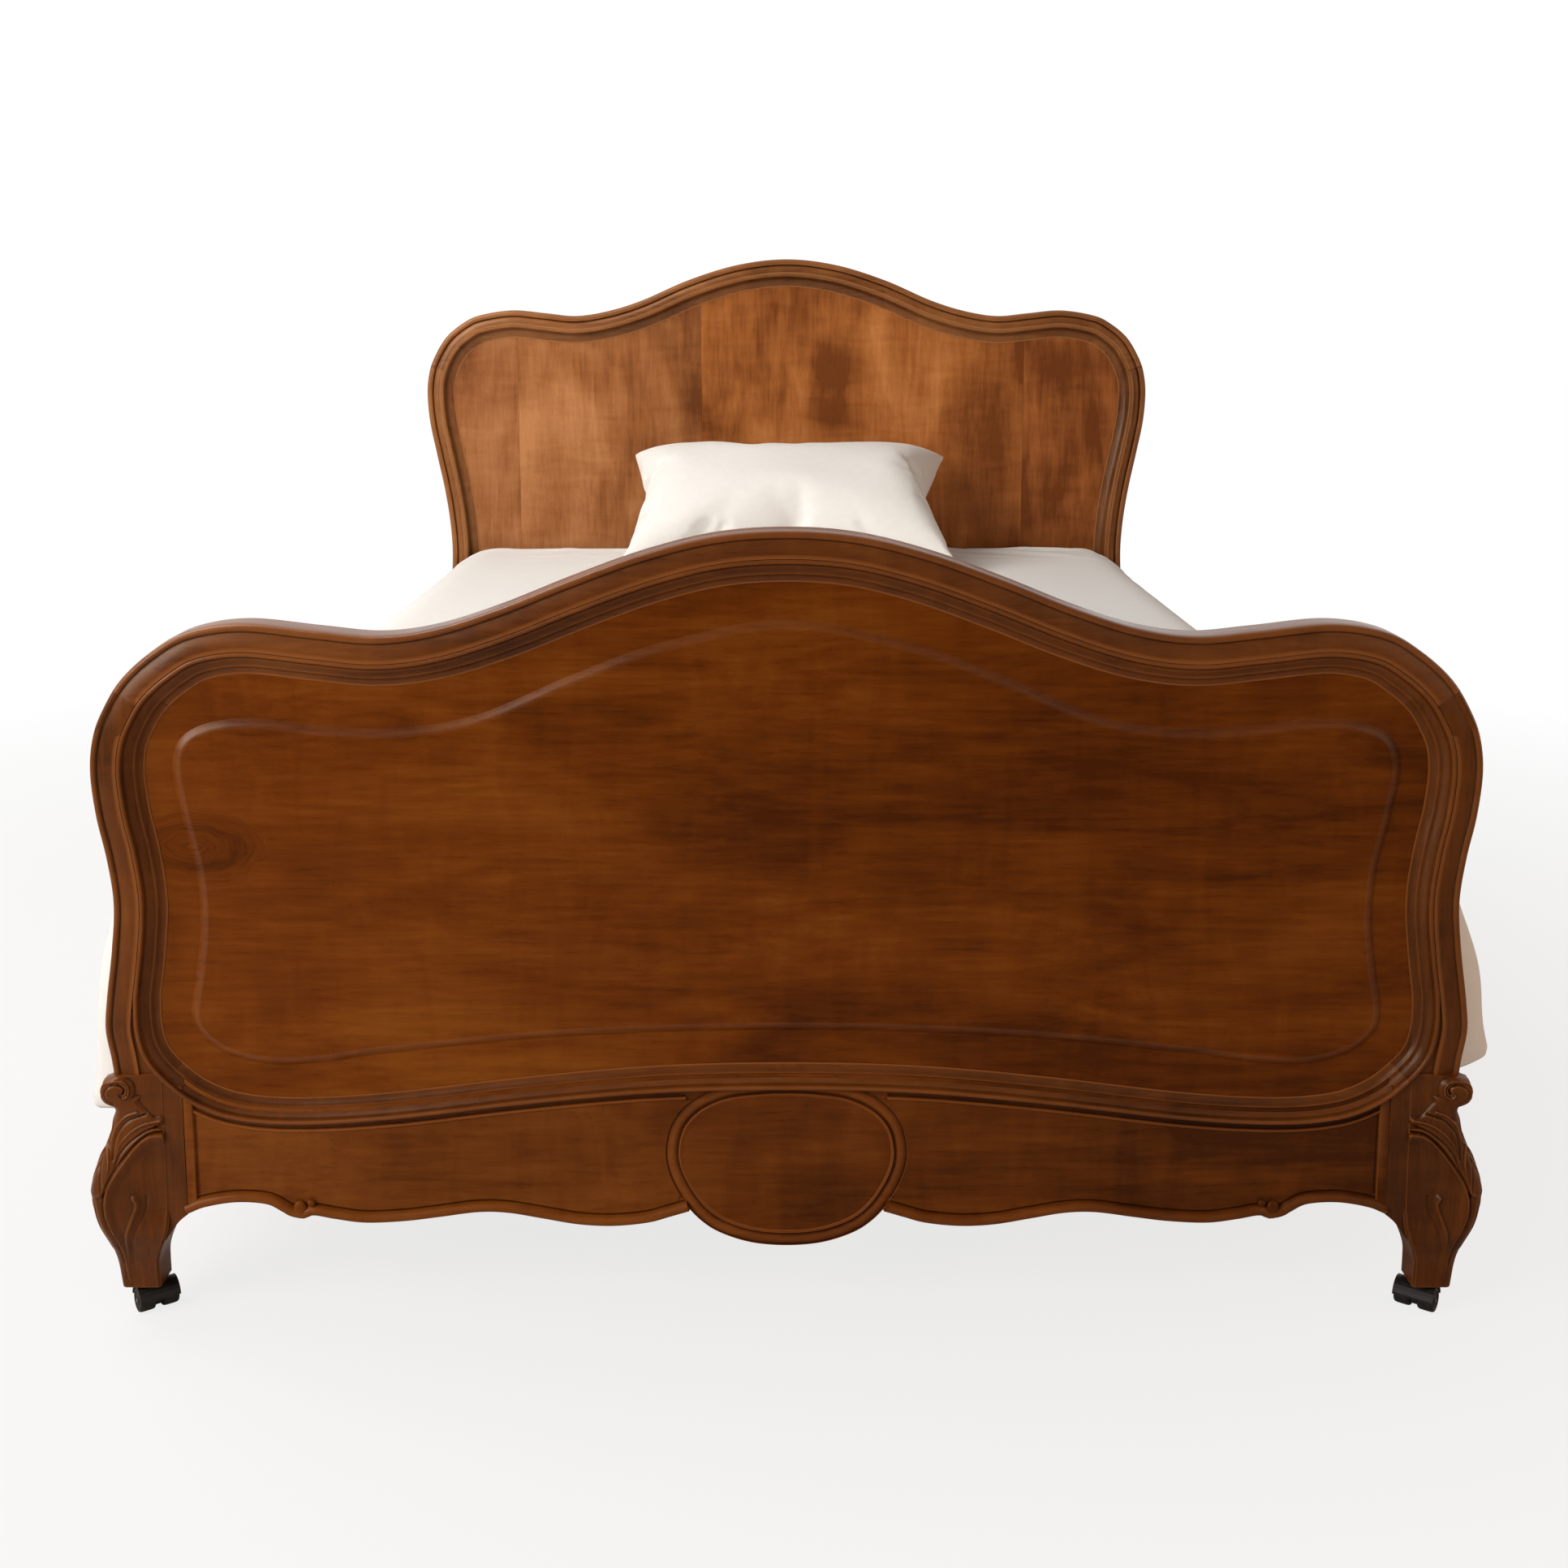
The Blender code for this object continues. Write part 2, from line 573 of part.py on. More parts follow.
def foot_panel(path):
    made = panel(FOOT, path, "foot_panel")
    front = FOOT.front_y + BEAD_SEAT + TOUCH
    outline = shifted(path, BEAD_WIDTH + FIELD_MARGIN, True)
    field = plate("field", outline, front - FIELD_RISE, front + PANEL_THICKNESS / 2, collection=CUTTERS)
    combine(made, field, "UNION")


def saw(piece, x, waste):
    """Cut a piece at x and drop what lies on the waste side, -1 for left and 1 for right."""
    work = bmesh.new()
    work.from_mesh(piece.data)
    cut = bmesh.ops.bisect_plane(work, geom=[*work.verts, *work.edges, *work.faces], plane_co=(x, 0, 0),
                                 plane_no=(waste, 0, 0), clear_outer=True)
    rim = [e for e in cut["geom_cut"] if isinstance(e, bmesh.types.BMEdge)]
    if rim:
        bmesh.ops.edgeloop_fill(work, edges=rim)
    bmesh.ops.recalc_face_normals(work, faces=work.faces)
    work.to_mesh(piece.data)
    work.free()


def head_panel(path):
    """Four boards side by side, each sawn from the panel's outline."""
    edges = [-HALF_WIDTH, *[across * HALF_WIDTH for across in HEAD_SEAMS], HALF_WIDTH]
    for number, (left, right) in enumerate(zip(edges, edges[1:]), 1):
        board = panel(HEAD, path, f"head_panel_board_{number}")
        saw(board, left + TOUCH / 2, -1)
        saw(board, right - TOUCH / 2, 1)


def build_board(board):
    path = bead_path(board)
    cutter = panel_cutter(board, path)
    crest_rail(board, cutter)
    post(board, cutter)
    lower_rail(board, cutter)
    bpy.data.objects.remove(cutter)
    bead_moulding(board, path)
    return path


# Rail hooks

def rail_end(board):
    return RAIL_FOOT_Y if board.inward > 0 else RAIL_HEAD_Y


def span(start, end):
    return min(start, end), max(start, end)


def box_at_end(name, board, near, far, half_width, low, high, finish=WALNUT, collection=CUTTERS):
    """A box on the right rail's line, from near to far beyond the rail's end, towards the post."""
    y_low, y_high = span(rail_end(board) - board.inward * near, rail_end(board) - board.inward * far)
    low_corner = (RAIL_X - half_width, y_low, low)
    high_corner = (RAIL_X + half_width, y_high, high)
    return block(name, low_corner, high_corner, finish, collection)


def hook_heights():
    return [PLATE_Z - HOOK_SPACING / 2, PLATE_Z + HOOK_SPACING / 2]


def slot_span(z):
    """A slot lets the raised hook in, and the hook then drops by its lip."""
    return z - HOOK_BELOW - TOUCH, z + HOOK_ABOVE + HOOK_DROP + TOUCH


def cut_hook_room(piece, board):
    """Step for the post plate, and pockets for the hooks behind it."""
    plate_far = 2 * TOUCH + PLATE_THICKNESS
    half = PLATE_WIDTH / 2 + TOUCH
    low = PLATE_Z - PLATE_HEIGHT / 2 - TOUCH
    high = PLATE_Z + PLATE_HEIGHT / 2 + TOUCH
    combine(piece, box_at_end("step", board, -CUT_PAST, plate_far, half, low, high), "DIFFERENCE")
    hook_far = 2 * TOUCH + PLATE_THICKNESS + HOOK_LIP + 2 * TOUCH
    for z in hook_heights():
        pocket_low = z - HOOK_BELOW - HOOK_DROP - TOUCH
        pocket_high = slot_span(z)[1]
        half = HOOK_THICKNESS / 2 + TOUCH
        pocket = box_at_end("pocket", board, 0.0, hook_far, half, pocket_low, pocket_high)
        combine(piece, pocket, "DIFFERENCE")


def post_plate(board):
    """Slotted plate let into the post."""
    low = PLATE_Z - PLATE_HEIGHT / 2
    high = PLATE_Z + PLATE_HEIGHT / 2
    name = f"post_plate_{board.name}"
    far = TOUCH + PLATE_THICKNESS
    made = box_at_end(name + "_right", board, TOUCH, far, PLATE_WIDTH / 2, low, high, IRON, PARTS)
    for z in hook_heights():
        slot = box_at_end("slot", board, -CUT_PAST, far + CUT_PAST, HOOK_THICKNESS / 2 + TOUCH, *slot_span(z))
        combine(made, slot, "DIFFERENCE")
    mirrored(made, name + "_left")


def hook_plate(board):
    """Plate let into the rail's end, with two hooks that drop behind the post plate."""
    low = PLATE_Z - PLATE_HEIGHT / 2
    high = PLATE_Z + PLATE_HEIGHT / 2
    name = f"hook_plate_{board.name}"
    made = box_at_end(name + "_right", board, -PLATE_THICKNESS, 0.0, PLATE_WIDTH / 2, low, high, IRON, PARTS)
    behind = 2 * TOUCH + PLATE_THICKNESS
    tip = behind + HOOK_LIP
    root = -PLATE_THICKNESS / 2
    for z in hook_heights():
        top = z + HOOK_ABOVE
        seat = z - HOOK_BELOW
        outline = [(root, seat), (root, top), (tip, top), (tip, seat - HOOK_DROP), (behind, seat - HOOK_DROP),
                   (behind, seat)]
        placed = [(rail_end(board) - board.inward * far, height) for far, height in outline]
        hook = plate("hook", placed, RAIL_X - HOOK_THICKNESS / 2, RAIL_X + HOOK_THICKNESS / 2,
                     collection=CUTTERS, sideways=True)
        combine(made, hook, "UNION")
    mirrored(made, name + "_left")


# Rails, cleats and slats

def side_rail():
    low = (RAIL_INNER_X, RAIL_FOOT_Y, RAIL_BOTTOM)
    high = (RAIL_INNER_X + RAIL_THICKNESS, RAIL_HEAD_Y, RAIL_BOTTOM + RAIL_HEIGHT)
    rail = block("side_rail_right", low, high)
    half = PLATE_WIDTH / 2 + TOUCH
    plate_low = PLATE_Z - PLATE_HEIGHT / 2 - TOUCH
    plate_high = PLATE_Z + PLATE_HEIGHT / 2 + TOUCH
    for board in (FOOT, HEAD):
        step = box_at_end("step", board, -PLATE_THICKNESS - TOUCH, CUT_PAST, half, plate_low, plate_high)
        combine(rail, step, "DIFFERENCE")
    mirrored(rail, "side_rail_left")


def cleat():
    face = RAIL_INNER_X - TOUCH
    low = (face - CLEAT_WIDTH, RAIL_FOOT_Y + CLEAT_END_GAP, CLEAT_TOP - CLEAT_HEIGHT)
    high = (face, RAIL_HEAD_Y - CLEAT_END_GAP, CLEAT_TOP)
    made = block("cleat_right", low, high, BEECH)
    mirrored(made, "cleat_left")


def slat_starts():
    first = RAIL_FOOT_Y + CLEAT_END_GAP + SLAT_ROW_GAP
    last = RAIL_HEAD_Y - CLEAT_END_GAP - SLAT_ROW_GAP - SLAT_WIDTH
    return [first + (last - first) * k / (SLAT_COUNT - 1) for k in range(SLAT_COUNT)]


def slats():
    half = RAIL_INNER_X - SLAT_END_PLAY
    top = SLAT_BOTTOM + SLAT_THICKNESS
    for number, y in enumerate(slat_starts(), 1):
        block(f"slat_{number:02d}", (-half, y, SLAT_BOTTOM), (half, y + SLAT_WIDTH, top), BEECH)


# Bedding

def arc(centre, radius, start, end, count):
    """Points on a circle between two angles in degrees."""
    angles = [math.radians(start + (end - start) * k / count) for k in range(count + 1)]
    return [Vector((centre[0] + radius * math.cos(a), centre[1] + radius * math.sin(a))) for a in angles]


def mattress():
    flat = MATTRESS_HALF_WIDTH - MATTRESS_EDGE
    upper = arc((flat, MATTRESS_TOP - MATTRESS_EDGE), MATTRESS_EDGE, 90, 0, 6)
    lower_centre = (MATTRESS_HALF_WIDTH - MATTRESS_LOWER_EDGE, MATTRESS_BOTTOM + MATTRESS_LOWER_EDGE)
    lower = arc(lower_centre, MATTRESS_LOWER_EDGE, 0, -90, 4)
    right = upper + lower
    outline = right + [Vector((-p.x, p.y)) for p in reversed(right)]
    plate("mattress", outline, RAIL_FOOT_Y + MATTRESS_END_GAP, RAIL_HEAD_Y - MATTRESS_END_GAP, TICKING)


def duvet():
    """Lies on the mattress, follows its long edges and hangs outside the rails."""
    flat = MATTRESS_HALF_WIDTH - MATTRESS_EDGE
    over_edge = arc((flat, MATTRESS_TOP - MATTRESS_EDGE), MATTRESS_EDGE + TOUCH, 90, DUVET_LEAVES, 5)
    drop = [Vector((MATTRESS_HALF_WIDTH + out, MATTRESS_TOP + down)) for out, down in DUVET_DROP]
    hanging = through(over_edge[-2:] + drop, 1)
    right = over_edge[:-1] + spaced(hanging, DUVET_STEP)
    under = [Vector((-p.x, p.y)) for p in reversed(right)] + right
    outline = shifted(under, -DUVET_THICKNESS) + list(reversed(under))
    low = RAIL_FOOT_Y + DUVET_END_GAP
    high = RAIL_HEAD_Y - DUVET_END_GAP
    plate("duvet", outline, low, high, COTTON)


def pillow():
    """A pillow that lies on the duvet and leans on the head panel."""
    work = bmesh.new()
    bmesh.ops.create_cube(work, size=1.0)
    sides = [e for e in work.edges if abs(e.verts[0].co.y - e.verts[1].co.y) < 0.5]
    bmesh.ops.subdivide_edges(work, edges=sides, cuts=3, use_grid_fill=True)
    for vert in work.verts:
        rim = max(abs(vert.co.x), abs(vert.co.z)) > 0.49
        depth = PILLOW_EDGE if rim else PILLOW_THICKNESS
        vert.co = (vert.co.x * PILLOW_WIDTH, vert.co.y * depth, vert.co.z * PILLOW_HEIGHT)
    mesh = bpy.data.meshes.new("pillow")
    work.to_mesh(mesh)
    work.free()
    made = add_part("pillow", mesh, COTTON)
    soften = made.modifiers.new("soften", "SUBSURF")
    soften.levels = 1
    soften.render_levels = 1
    bpy.context.view_layer.update()
    seen = made.evaluated_get(bpy.context.evaluated_depsgraph_get())
    made.data = bpy.data.meshes.new_from_object(seen)
    made.modifiers.clear()
    moved_mesh(made, Matrix.Rotation(-PILLOW_LEAN, 4, "X"))
    lowest = min(v.co.z for v in made.data.vertices)
    furthest = max(v.co.y for v in made.data.vertices)
    rest_z = MATTRESS_TOP + TOUCH + DUVET_THICKNESS + TOUCH
    rest_y = HEAD_FRONT_Y + BEAD_SEAT
    moved_mesh(made, Matrix.Translation((0, rest_y - furthest, rest_z - lowest)))


# Casters, built about their swivel axis with the trail along -Y and the axle along X

def caster_pivot(board):
    return Vector((HALF_WIDTH - PIVOT_INSET, board.front_y + board.pivot_back, 0))


AXLE_ALONG_X = Matrix.Translation((0, -TRAIL, AXLE_Z)) @ Matrix.Rotation(math.pi / 2, 4, "Y")
WHEEL_INNER = WEB_THICKNESS / 2 + WHEEL_SIDE_GAP
AXLE_HALF = WHEEL_INNER + WHEEL_WIDTH
BOSS_TOP = LEG_BOTTOM - SOCKET_FLANGE - 2 * TOUCH


def disc(name, radius, half, sides, matrix=AXLE_ALONG_X):
    profile = [(0, half), (radius, half), (radius, -half), (0, -half)]
    made = turned(name, profile, sides, BLACK_PLASTIC, CUTTERS)
    moved_mesh(made, matrix)
    return made


def caster_housing():
    """Hood over both wheels, web between them, and the stem on the swivel axis."""
    hood_inside = WHEEL_RADIUS + HOOD_GAP
    hood = disc("hood", hood_inside + HOOD_WALL, AXLE_HALF, WHEEL_SIDES)
    cut_box(hood, (-CUT_OVER, -CUT_OVER, -CUT_OVER), (CUT_OVER, CUT_OVER, AXLE_Z + AXLE_RADIUS))
    boss_low = AXLE_Z + WHEEL_RADIUS / 2
    boss = turned("boss", [(0, BOSS_TOP), (BOSS_RADIUS, BOSS_TOP), (BOSS_RADIUS, boss_low), (0, boss_low)],
                  AXLE_SIDES, BLACK_PLASTIC, CUTTERS)
    combine(hood, boss, "UNION")
    for side in (-1, 1):
        low, high = span(side * WEB_THICKNESS / 2, side * (AXLE_HALF + BOSS_RADIUS))
        room = disc("room", hood_inside, (high - low) / 2, WHEEL_SIDES,
                    Matrix.Translation(((low + high) / 2, 0, 0)) @ AXLE_ALONG_X)
        combine(hood, room, "DIFFERENCE")
    combine(hood, disc("web", WEB_RADIUS, WEB_THICKNESS / 2, WHEEL_SIDES), "UNION")
    stem_top = LEG_BOTTOM + STEM_LENGTH - 2 * TOUCH
    stem_low = BOSS_TOP - STEM_SINK
    stem = turned("stem", [(0, stem_top), (STEM_RADIUS, stem_top), (STEM_RADIUS, stem_low), (0, stem_low)],
                  AXLE_SIDES, BLACK_PLASTIC, CUTTERS)
    combine(hood, stem, "UNION")
    combine(hood, disc("axle_hole", AXLE_RADIUS + TOUCH, CUT_OVER, AXLE_SIDES), "DIFFERENCE")
    mesh = hood.data
    bpy.data.objects.remove(hood)
    return mesh


def wheel_mesh():
    bore = AXLE_RADIUS + TOUCH
    edge = WHEEL_RADIUS - WHEEL_EDGE
    half = WHEEL_WIDTH / 2
    profile = [(bore, half), (edge, half), (WHEEL_RADIUS, half - WHEEL_EDGE),
               (WHEEL_RADIUS, WHEEL_EDGE - half), (edge, -half), (bore, -half)]
    made = turned("wheel", profile, WHEEL_SIDES, BLACK_PLASTIC, CUTTERS, turn=math.pi / WHEEL_SIDES)
    moved_mesh(made, Matrix.Rotation(math.pi / 2, 4, "Y"))
    mesh = made.data
    bpy.data.objects.remove(made)
    return mesh


def axle_mesh():
    profile = [(0, AXLE_HALF), (AXLE_RADIUS, AXLE_HALF), (AXLE_RADIUS, -AXLE_HALF), (0, -AXLE_HALF)]
    made = turned("axle", profile, AXLE_SIDES, STEEL, CUTTERS)
    moved_mesh(made, Matrix.Rotation(math.pi / 2, 4, "Y"))
    mesh = made.data
    bpy.data.objects.remove(made)
    return mesh


def casters():
    housing = caster_housing()
    wheel = wheel_mesh()
    axle = axle_mesh()
    for board in (FOOT, HEAD):
        for side, sign in (("left", -1), ("right", 1)):
            pivot = caster_pivot(board)
            swivel = bpy.data.objects.new(f"caster_{board.name}_{side}_swivel", None)
            PARTS.objects.link(swivel)
            swivel.location = (sign * pivot.x, pivot.y, 0)
            swivel.rotation_euler = (0, 0, -sign * CASTER_YAW[board.name])
            base = f"caster_{board.name}_{side}"
            pieces = [(f"{base}_housing", housing, 0.0, 0.0, BLACK_PLASTIC),
                      (f"{base}_axle", axle, 0.0, 1.0, STEEL)]
            for place, offset in (("inner", -sign), ("outer", sign)):
                across = offset * (WHEEL_INNER + WHEEL_WIDTH / 2)
                pieces.append((f"{base}_wheel_{place}", wheel, across, 1.0, BLACK_PLASTIC))
            for name, mesh, across, on_axle, finish in pieces:
                piece = add_part(name, mesh.copy(), finish)
                piece.parent = swivel
                piece.location = (across, -TRAIL * on_axle, AXLE_Z * on_axle)


def caster_sockets():
    """Flanged sleeves in the legs, one for each stem."""
    inside = STEM_RADIUS + TOUCH
    outside = inside + SOCKET_WALL
    flange_top = LEG_BOTTOM - TOUCH
    flange_low = flange_top - SOCKET_FLANGE
    top = LEG_BOTTOM + STEM_LENGTH - TOUCH
    profile = [(inside, top), (outside, top), (outside, flange_top), (SOCKET_FLANGE_RADIUS, flange_top),
               (SOCKET_FLANGE_RADIUS, flange_low), (inside, flange_low)]
    for board in (FOOT, HEAD):
        for side, sign in (("left", -1), ("right", 1)):
            pivot = caster_pivot(board)
            socket = turned(f"caster_{board.name}_{side}_socket", profile, AXLE_SIDES, STEEL)
            socket.location = (sign * pivot.x, pivot.y, 0)


foot_path = build_board(FOOT)
foot_panel(foot_path)
head_path = build_board(HEAD)
head_panel(head_path)
for end_board in (FOOT, HEAD):
    post_plate(end_board)
    hook_plate(end_board)
side_rail()
cleat()
slats()
mattress()
duvet()
pillow()
casters()
caster_sockets()
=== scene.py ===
"""Double bed of moulded and carved walnut on casters, made up with a white duvet and one pillow."""
import math

import bmesh
import bpy
import mathutils.noise
from mathutils import Matrix, Vector


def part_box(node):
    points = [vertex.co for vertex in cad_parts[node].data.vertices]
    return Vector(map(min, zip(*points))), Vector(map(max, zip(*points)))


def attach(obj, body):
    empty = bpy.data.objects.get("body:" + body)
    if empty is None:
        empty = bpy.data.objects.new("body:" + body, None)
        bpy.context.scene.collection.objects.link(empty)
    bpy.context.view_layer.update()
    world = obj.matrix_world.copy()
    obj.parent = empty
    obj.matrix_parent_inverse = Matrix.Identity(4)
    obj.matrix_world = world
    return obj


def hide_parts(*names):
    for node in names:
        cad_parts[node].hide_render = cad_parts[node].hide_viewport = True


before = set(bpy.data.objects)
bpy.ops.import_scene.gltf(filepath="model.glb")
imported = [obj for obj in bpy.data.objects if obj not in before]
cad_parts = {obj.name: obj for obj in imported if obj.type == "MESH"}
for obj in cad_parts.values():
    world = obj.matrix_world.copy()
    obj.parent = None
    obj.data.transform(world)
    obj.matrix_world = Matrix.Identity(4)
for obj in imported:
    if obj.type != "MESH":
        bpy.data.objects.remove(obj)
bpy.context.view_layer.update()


# Studio: a pale floor and five soft lamps. One window lights the head end from the left, a larger one the
# front from the left, a narrow one the left edge, and a fill and a warm glow come from the right. The camera
# stands at the foot end and looks slightly down.

CAMERA_PLACE = (0, -2.985, 1.157)
CAMERA_DIP = math.radians(8.5)
FOCAL_LENGTH = 42.04
FRAME_SHIFT = (-0.0016, -0.1267)
SOFT_LIGHT = 0.25
BACKDROP_WHITE = 1.06
FLOOR_RADIUS = 30
scene = bpy.context.scene
scene.view_settings.view_transform = "Standard"
lens = bpy.data.cameras.new("camera")
lens.sensor_width = 36
lens.lens = FOCAL_LENGTH
lens.shift_x, lens.shift_y = FRAME_SHIFT
camera = bpy.data.objects.new("camera", lens)
camera.location = CAMERA_PLACE
camera.rotation_euler = (math.pi / 2 - CAMERA_DIP, 0, 0)
scene.collection.objects.link(camera)
scene.camera = camera


def window(name, place, aim, width, height, power, colour):
    """A soft lamp the size of a window, turned to face a point."""
    lamp = bpy.data.lights.new(name, "AREA")
    lamp.shape = "RECTANGLE"
    lamp.size = width
    lamp.size_y = height
    lamp.energy = power
    lamp.color = colour
    hung = bpy.data.objects.new(name, lamp)
    hung.location = place
    hung.rotation_euler = (Vector(aim) - Vector(place)).to_track_quat("-Z", "Y").to_euler()
    scene.collection.objects.link(hung)


window("head_window", (-1.7, -0.3, 2.6), (0.1, 0.95, 0.75), 1.3, 1.7, 55, (1.0, 0.95, 0.88))
window("front_window", (-2.85, -2.85, 1.95), (0.0, -1.0, 0.5), 2.2, 1.9, 93, (1.0, 0.96, 0.91))
window("side_window", (-2.9, 0.0, 1.9), (-0.7, -1.0, 0.7), 0.45, 1.5, 3, (1.0, 0.96, 0.92))
window("fill", (3.4, -4.0, 2.0), (0.2, -1.0, 0.6), 3.0, 2.4, 20, (1.0, 0.80, 0.60))
window("side_glow", (3.2, -1.0, 0.9), (0.83, -0.85, 0.4), 1.0, 1.2, 14, (1.0, 0.50, 0.18))


def node(tree, kind, inputs=None, **settings):
    """Adds a shader node. Inputs are values or other nodes' outputs, by name or number."""
    made = tree.nodes.new("ShaderNode" + kind)
    for name, value in settings.items():
        setattr(made, name, value)
    for key, value in (inputs or {}).items():
        if isinstance(value, bpy.types.NodeSocket):
            tree.links.new(value, made.inputs[key])
        else:
            made.inputs[key].default_value = value
    return made


def added(tree, *values):
    """The sum of several sockets or numbers."""
    total = values[0]
    for value in values[1:]:
        total = node(tree, "Math", {0: total, 1: value}, operation="ADD").outputs[0]
    return total


def scaled(tree, value, factor):
    """The product of two sockets or numbers."""
    return node(tree, "Math", {0: value, 1: factor}, operation="MULTIPLY").outputs[0]


def ranged(tree, value, start, end, low=0.0, high=1.0):
    """Goes evenly from low to high while a value goes from start to end, and stays there on both sides."""
    return node(tree, "MapRange", {"Value": value, "From Min": start, "From Max": end, "To Min": low,
                                   "To Max": high}).outputs[0]


def seen_directly(tree, behind):
    """1 where the camera sees a surface itself or through glass, or where a gloss shows what is behind the
    bed."""
    path = node(tree, "LightPath").outputs
    gloss = scaled(tree, path["Is Glossy Ray"], behind)
    rays = added(tree, path["Is Camera Ray"], gloss, path["Is Transmission Ray"])
    return node(tree, "Math", {0: rays, 1: 1.0}, operation="MINIMUM").outputs[0]


sky = bpy.data.worlds.new("studio")
sky.use_nodes = True
scene.world = sky
soft = sky.node_tree.nodes["Background"]
soft.inputs["Color"].default_value = (1.0, 0.985, 0.96, 1.0)
facing = node(sky.node_tree, "TexCoord").outputs["Generated"]
backdrop = ranged(sky.node_tree, node(sky.node_tree, "SeparateXYZ", {0: facing}).outputs["Y"], 0.0, 0.3)
directly = seen_directly(sky.node_tree, backdrop)
level = ranged(sky.node_tree, directly, 0.0, 1.0, SOFT_LIGHT, BACKDROP_WHITE)
sky.node_tree.links.new(level, soft.inputs["Strength"])

ground = bmesh.new()
bmesh.ops.create_circle(ground, cap_ends=True, segments=96, radius=FLOOR_RADIUS)
ground_mesh = bpy.data.meshes.new("floor")
ground.to_mesh(ground_mesh)
ground.free()
pale = bpy.data.materials.new("pale_floor")
pale.use_nodes = True
tree = pale.node_tree
spot = node(tree, "TexCoord").outputs["Object"]
away = node(tree, "VectorMath", {0: spot}, operation="LENGTH").outputs["Value"]
open_floor = ranged(tree, away, 1.0, 3.2, 0.78, 1.0)
rear = ranged(tree, node(tree, "SeparateXYZ", {0: spot}).outputs["Y"], 1.2, 2.2)
share = scaled(tree, open_floor, seen_directly(tree, rear))
matt = node(tree, "BsdfDiffuse", {"Color": (0.62, 0.58, 0.54, 1)})
bright = node(tree, "Emission", {"Color": (1, 1, 1, 1), "Strength": 1.0})
both = node(tree, "MixShader", {0: share, 1: matt.outputs[0], 2: bright.outputs[0]})
tree.links.new(both.outputs[0], tree.nodes["Material Output"].inputs["Surface"])
ground_mesh.materials.append(pale)
floor = bpy.data.objects.new("floor", ground_mesh)
scene.collection.objects.link(floor)


# Footboard posts: each is a moulded stile on a cabriole leg, sawn from one length of walnut, with an acanthus
# leaf and a scroll carved on the corner of the leg. The stile's rounded band runs on from the crest rail's.

FOOT_Y = -1.0095
FOOT_CREST = [(0, 0.921), (0.08, 0.915), (0.16, 0.895), (0.24, 0.866), (0.32, 0.834), (0.39, 0.812),
              (0.453, 0.804), (0.52, 0.810), (0.60, 0.818), (0.66, 0.809), (0.70, 0.787), (0.735, 0.756),
              (0.757, 0.722), (0.770, 0.690), (0.775, 0.650), (0.771, 0.600), (0.762, 0.551),
              (0.757, 0.500), (0.762, 0.445), (0.771, 0.385), (0.774, 0.350), (0.769, 0.315),
              (0.766, 0.285)]
FOOT_BAND = [(0, 14), (0.4, 8), (1.4, 5), (3.2, 3.3), (5.2, 2.7), (7.0, 3.2), (8.2, 4.5), (9.0, 5.3),
             (9.8, 5.2), (11.5, 4.6), (15, 3.4), (20, 2.3), (25, 1.7), (30.7, 1.6), (30.7, 18.3),
             (48, 18.3), (48, 35.6), (60, 35.6), (60, 50), (58, 52), (6, 52), (1.5, 50), (0, 46)]
BAND_WIDTH = 0.031
JOINT_GAP = 0.0004
CURVE_STEPS = 24


def smooth_line(points, step, closed=False):
    """Evenly spaced points along a smooth curve through a few chosen ones."""
    chosen = [Vector(p) for p in points]
    if closed:
        ends = [chosen[-1]] + chosen + chosen[:2]
    else:
        ends = [2 * chosen[0] - chosen[1]] + chosen + [2 * chosen[-1] - chosen[-2]]
    fine = []
    for before, start, end, after in zip(ends, ends[1:], ends[2:], ends[3:]):
        bend = 2 * before - 5 * start + 4 * end - after
        twist = 3 * start - before - 3 * end + after
        for k in range(CURVE_STEPS):
            t = k / CURVE_STEPS
            fine.append(0.5 * (2 * start + (end - before) * t + bend * t ** 2 + twist * t ** 3))
    fine.append(chosen[0] if closed else chosen[-1])
    return evenly(fine, step)[:-1] if closed else evenly(fine, step)


def evenly(points, step):
    """The same line with evenly spaced points."""
    reach = [0.0]
    for a, b in zip(points, points[1:]):
        reach.append(reach[-1] + (b - a).length)
    count = max(2, round(reach[-1] / step))
    even = []
    at = 0
    for k in range(count + 1):
        target = reach[-1] * k / count
        while at < len(points) - 2 and reach[at + 1] < target:
            at += 1
        part = (target - reach[at]) / max(reach[at + 1] - reach[at], 1e-9)
        even.append(points[at].lerp(points[at + 1], min(part, 1.0)))
    return even


def offset(points, distance, closed=False):
    """A line moved sideways, to the right of its direction of travel."""
    count = len(points)
    moved = []
    for i, point in enumerate(points):
        before = points[i - 1] if closed or i > 0 else points[0]
        after = points[(i + 1) % count] if closed or i < count - 1 else points[-1]
        along = (after - before).normalized()
        moved.append(point + distance * Vector((along.y, -along.x)))
    return moved


def below(line, height):
    """The end of a line that falls past a height, cut exactly there."""
    for i, (a, b) in enumerate(zip(line, line[1:])):
        if a.x > 0 and a.y > height >= b.y:
            return [a.lerp(b, (a.y - height) / (a.y - b.y))] + line[i + 1:]


def between_ends(line, height):
    """A line that rises and falls again, cut off at a height at both ends."""
    right = below(line, height)[0]
    inner = [p for p in line if p.y > height]
    return [Vector((-right.x, height))] + inner + [right]


def whole(half):
    """A right-hand half outline from the centre line, with its mirror image before it."""
    return [(-x, z) for x, z in reversed(half[1:])] + list(half)


def draw_run(curve, points, closed):
    """Adds one straight-sided run through points to a curve."""
    run = curve.splines.new("POLY")
    run.points.add(len(points) - 1)
    for slot, point in zip(run.points, points):
        slot.co = (point[0], point[1], 0, 1)
    run.use_cyclic_u = closed


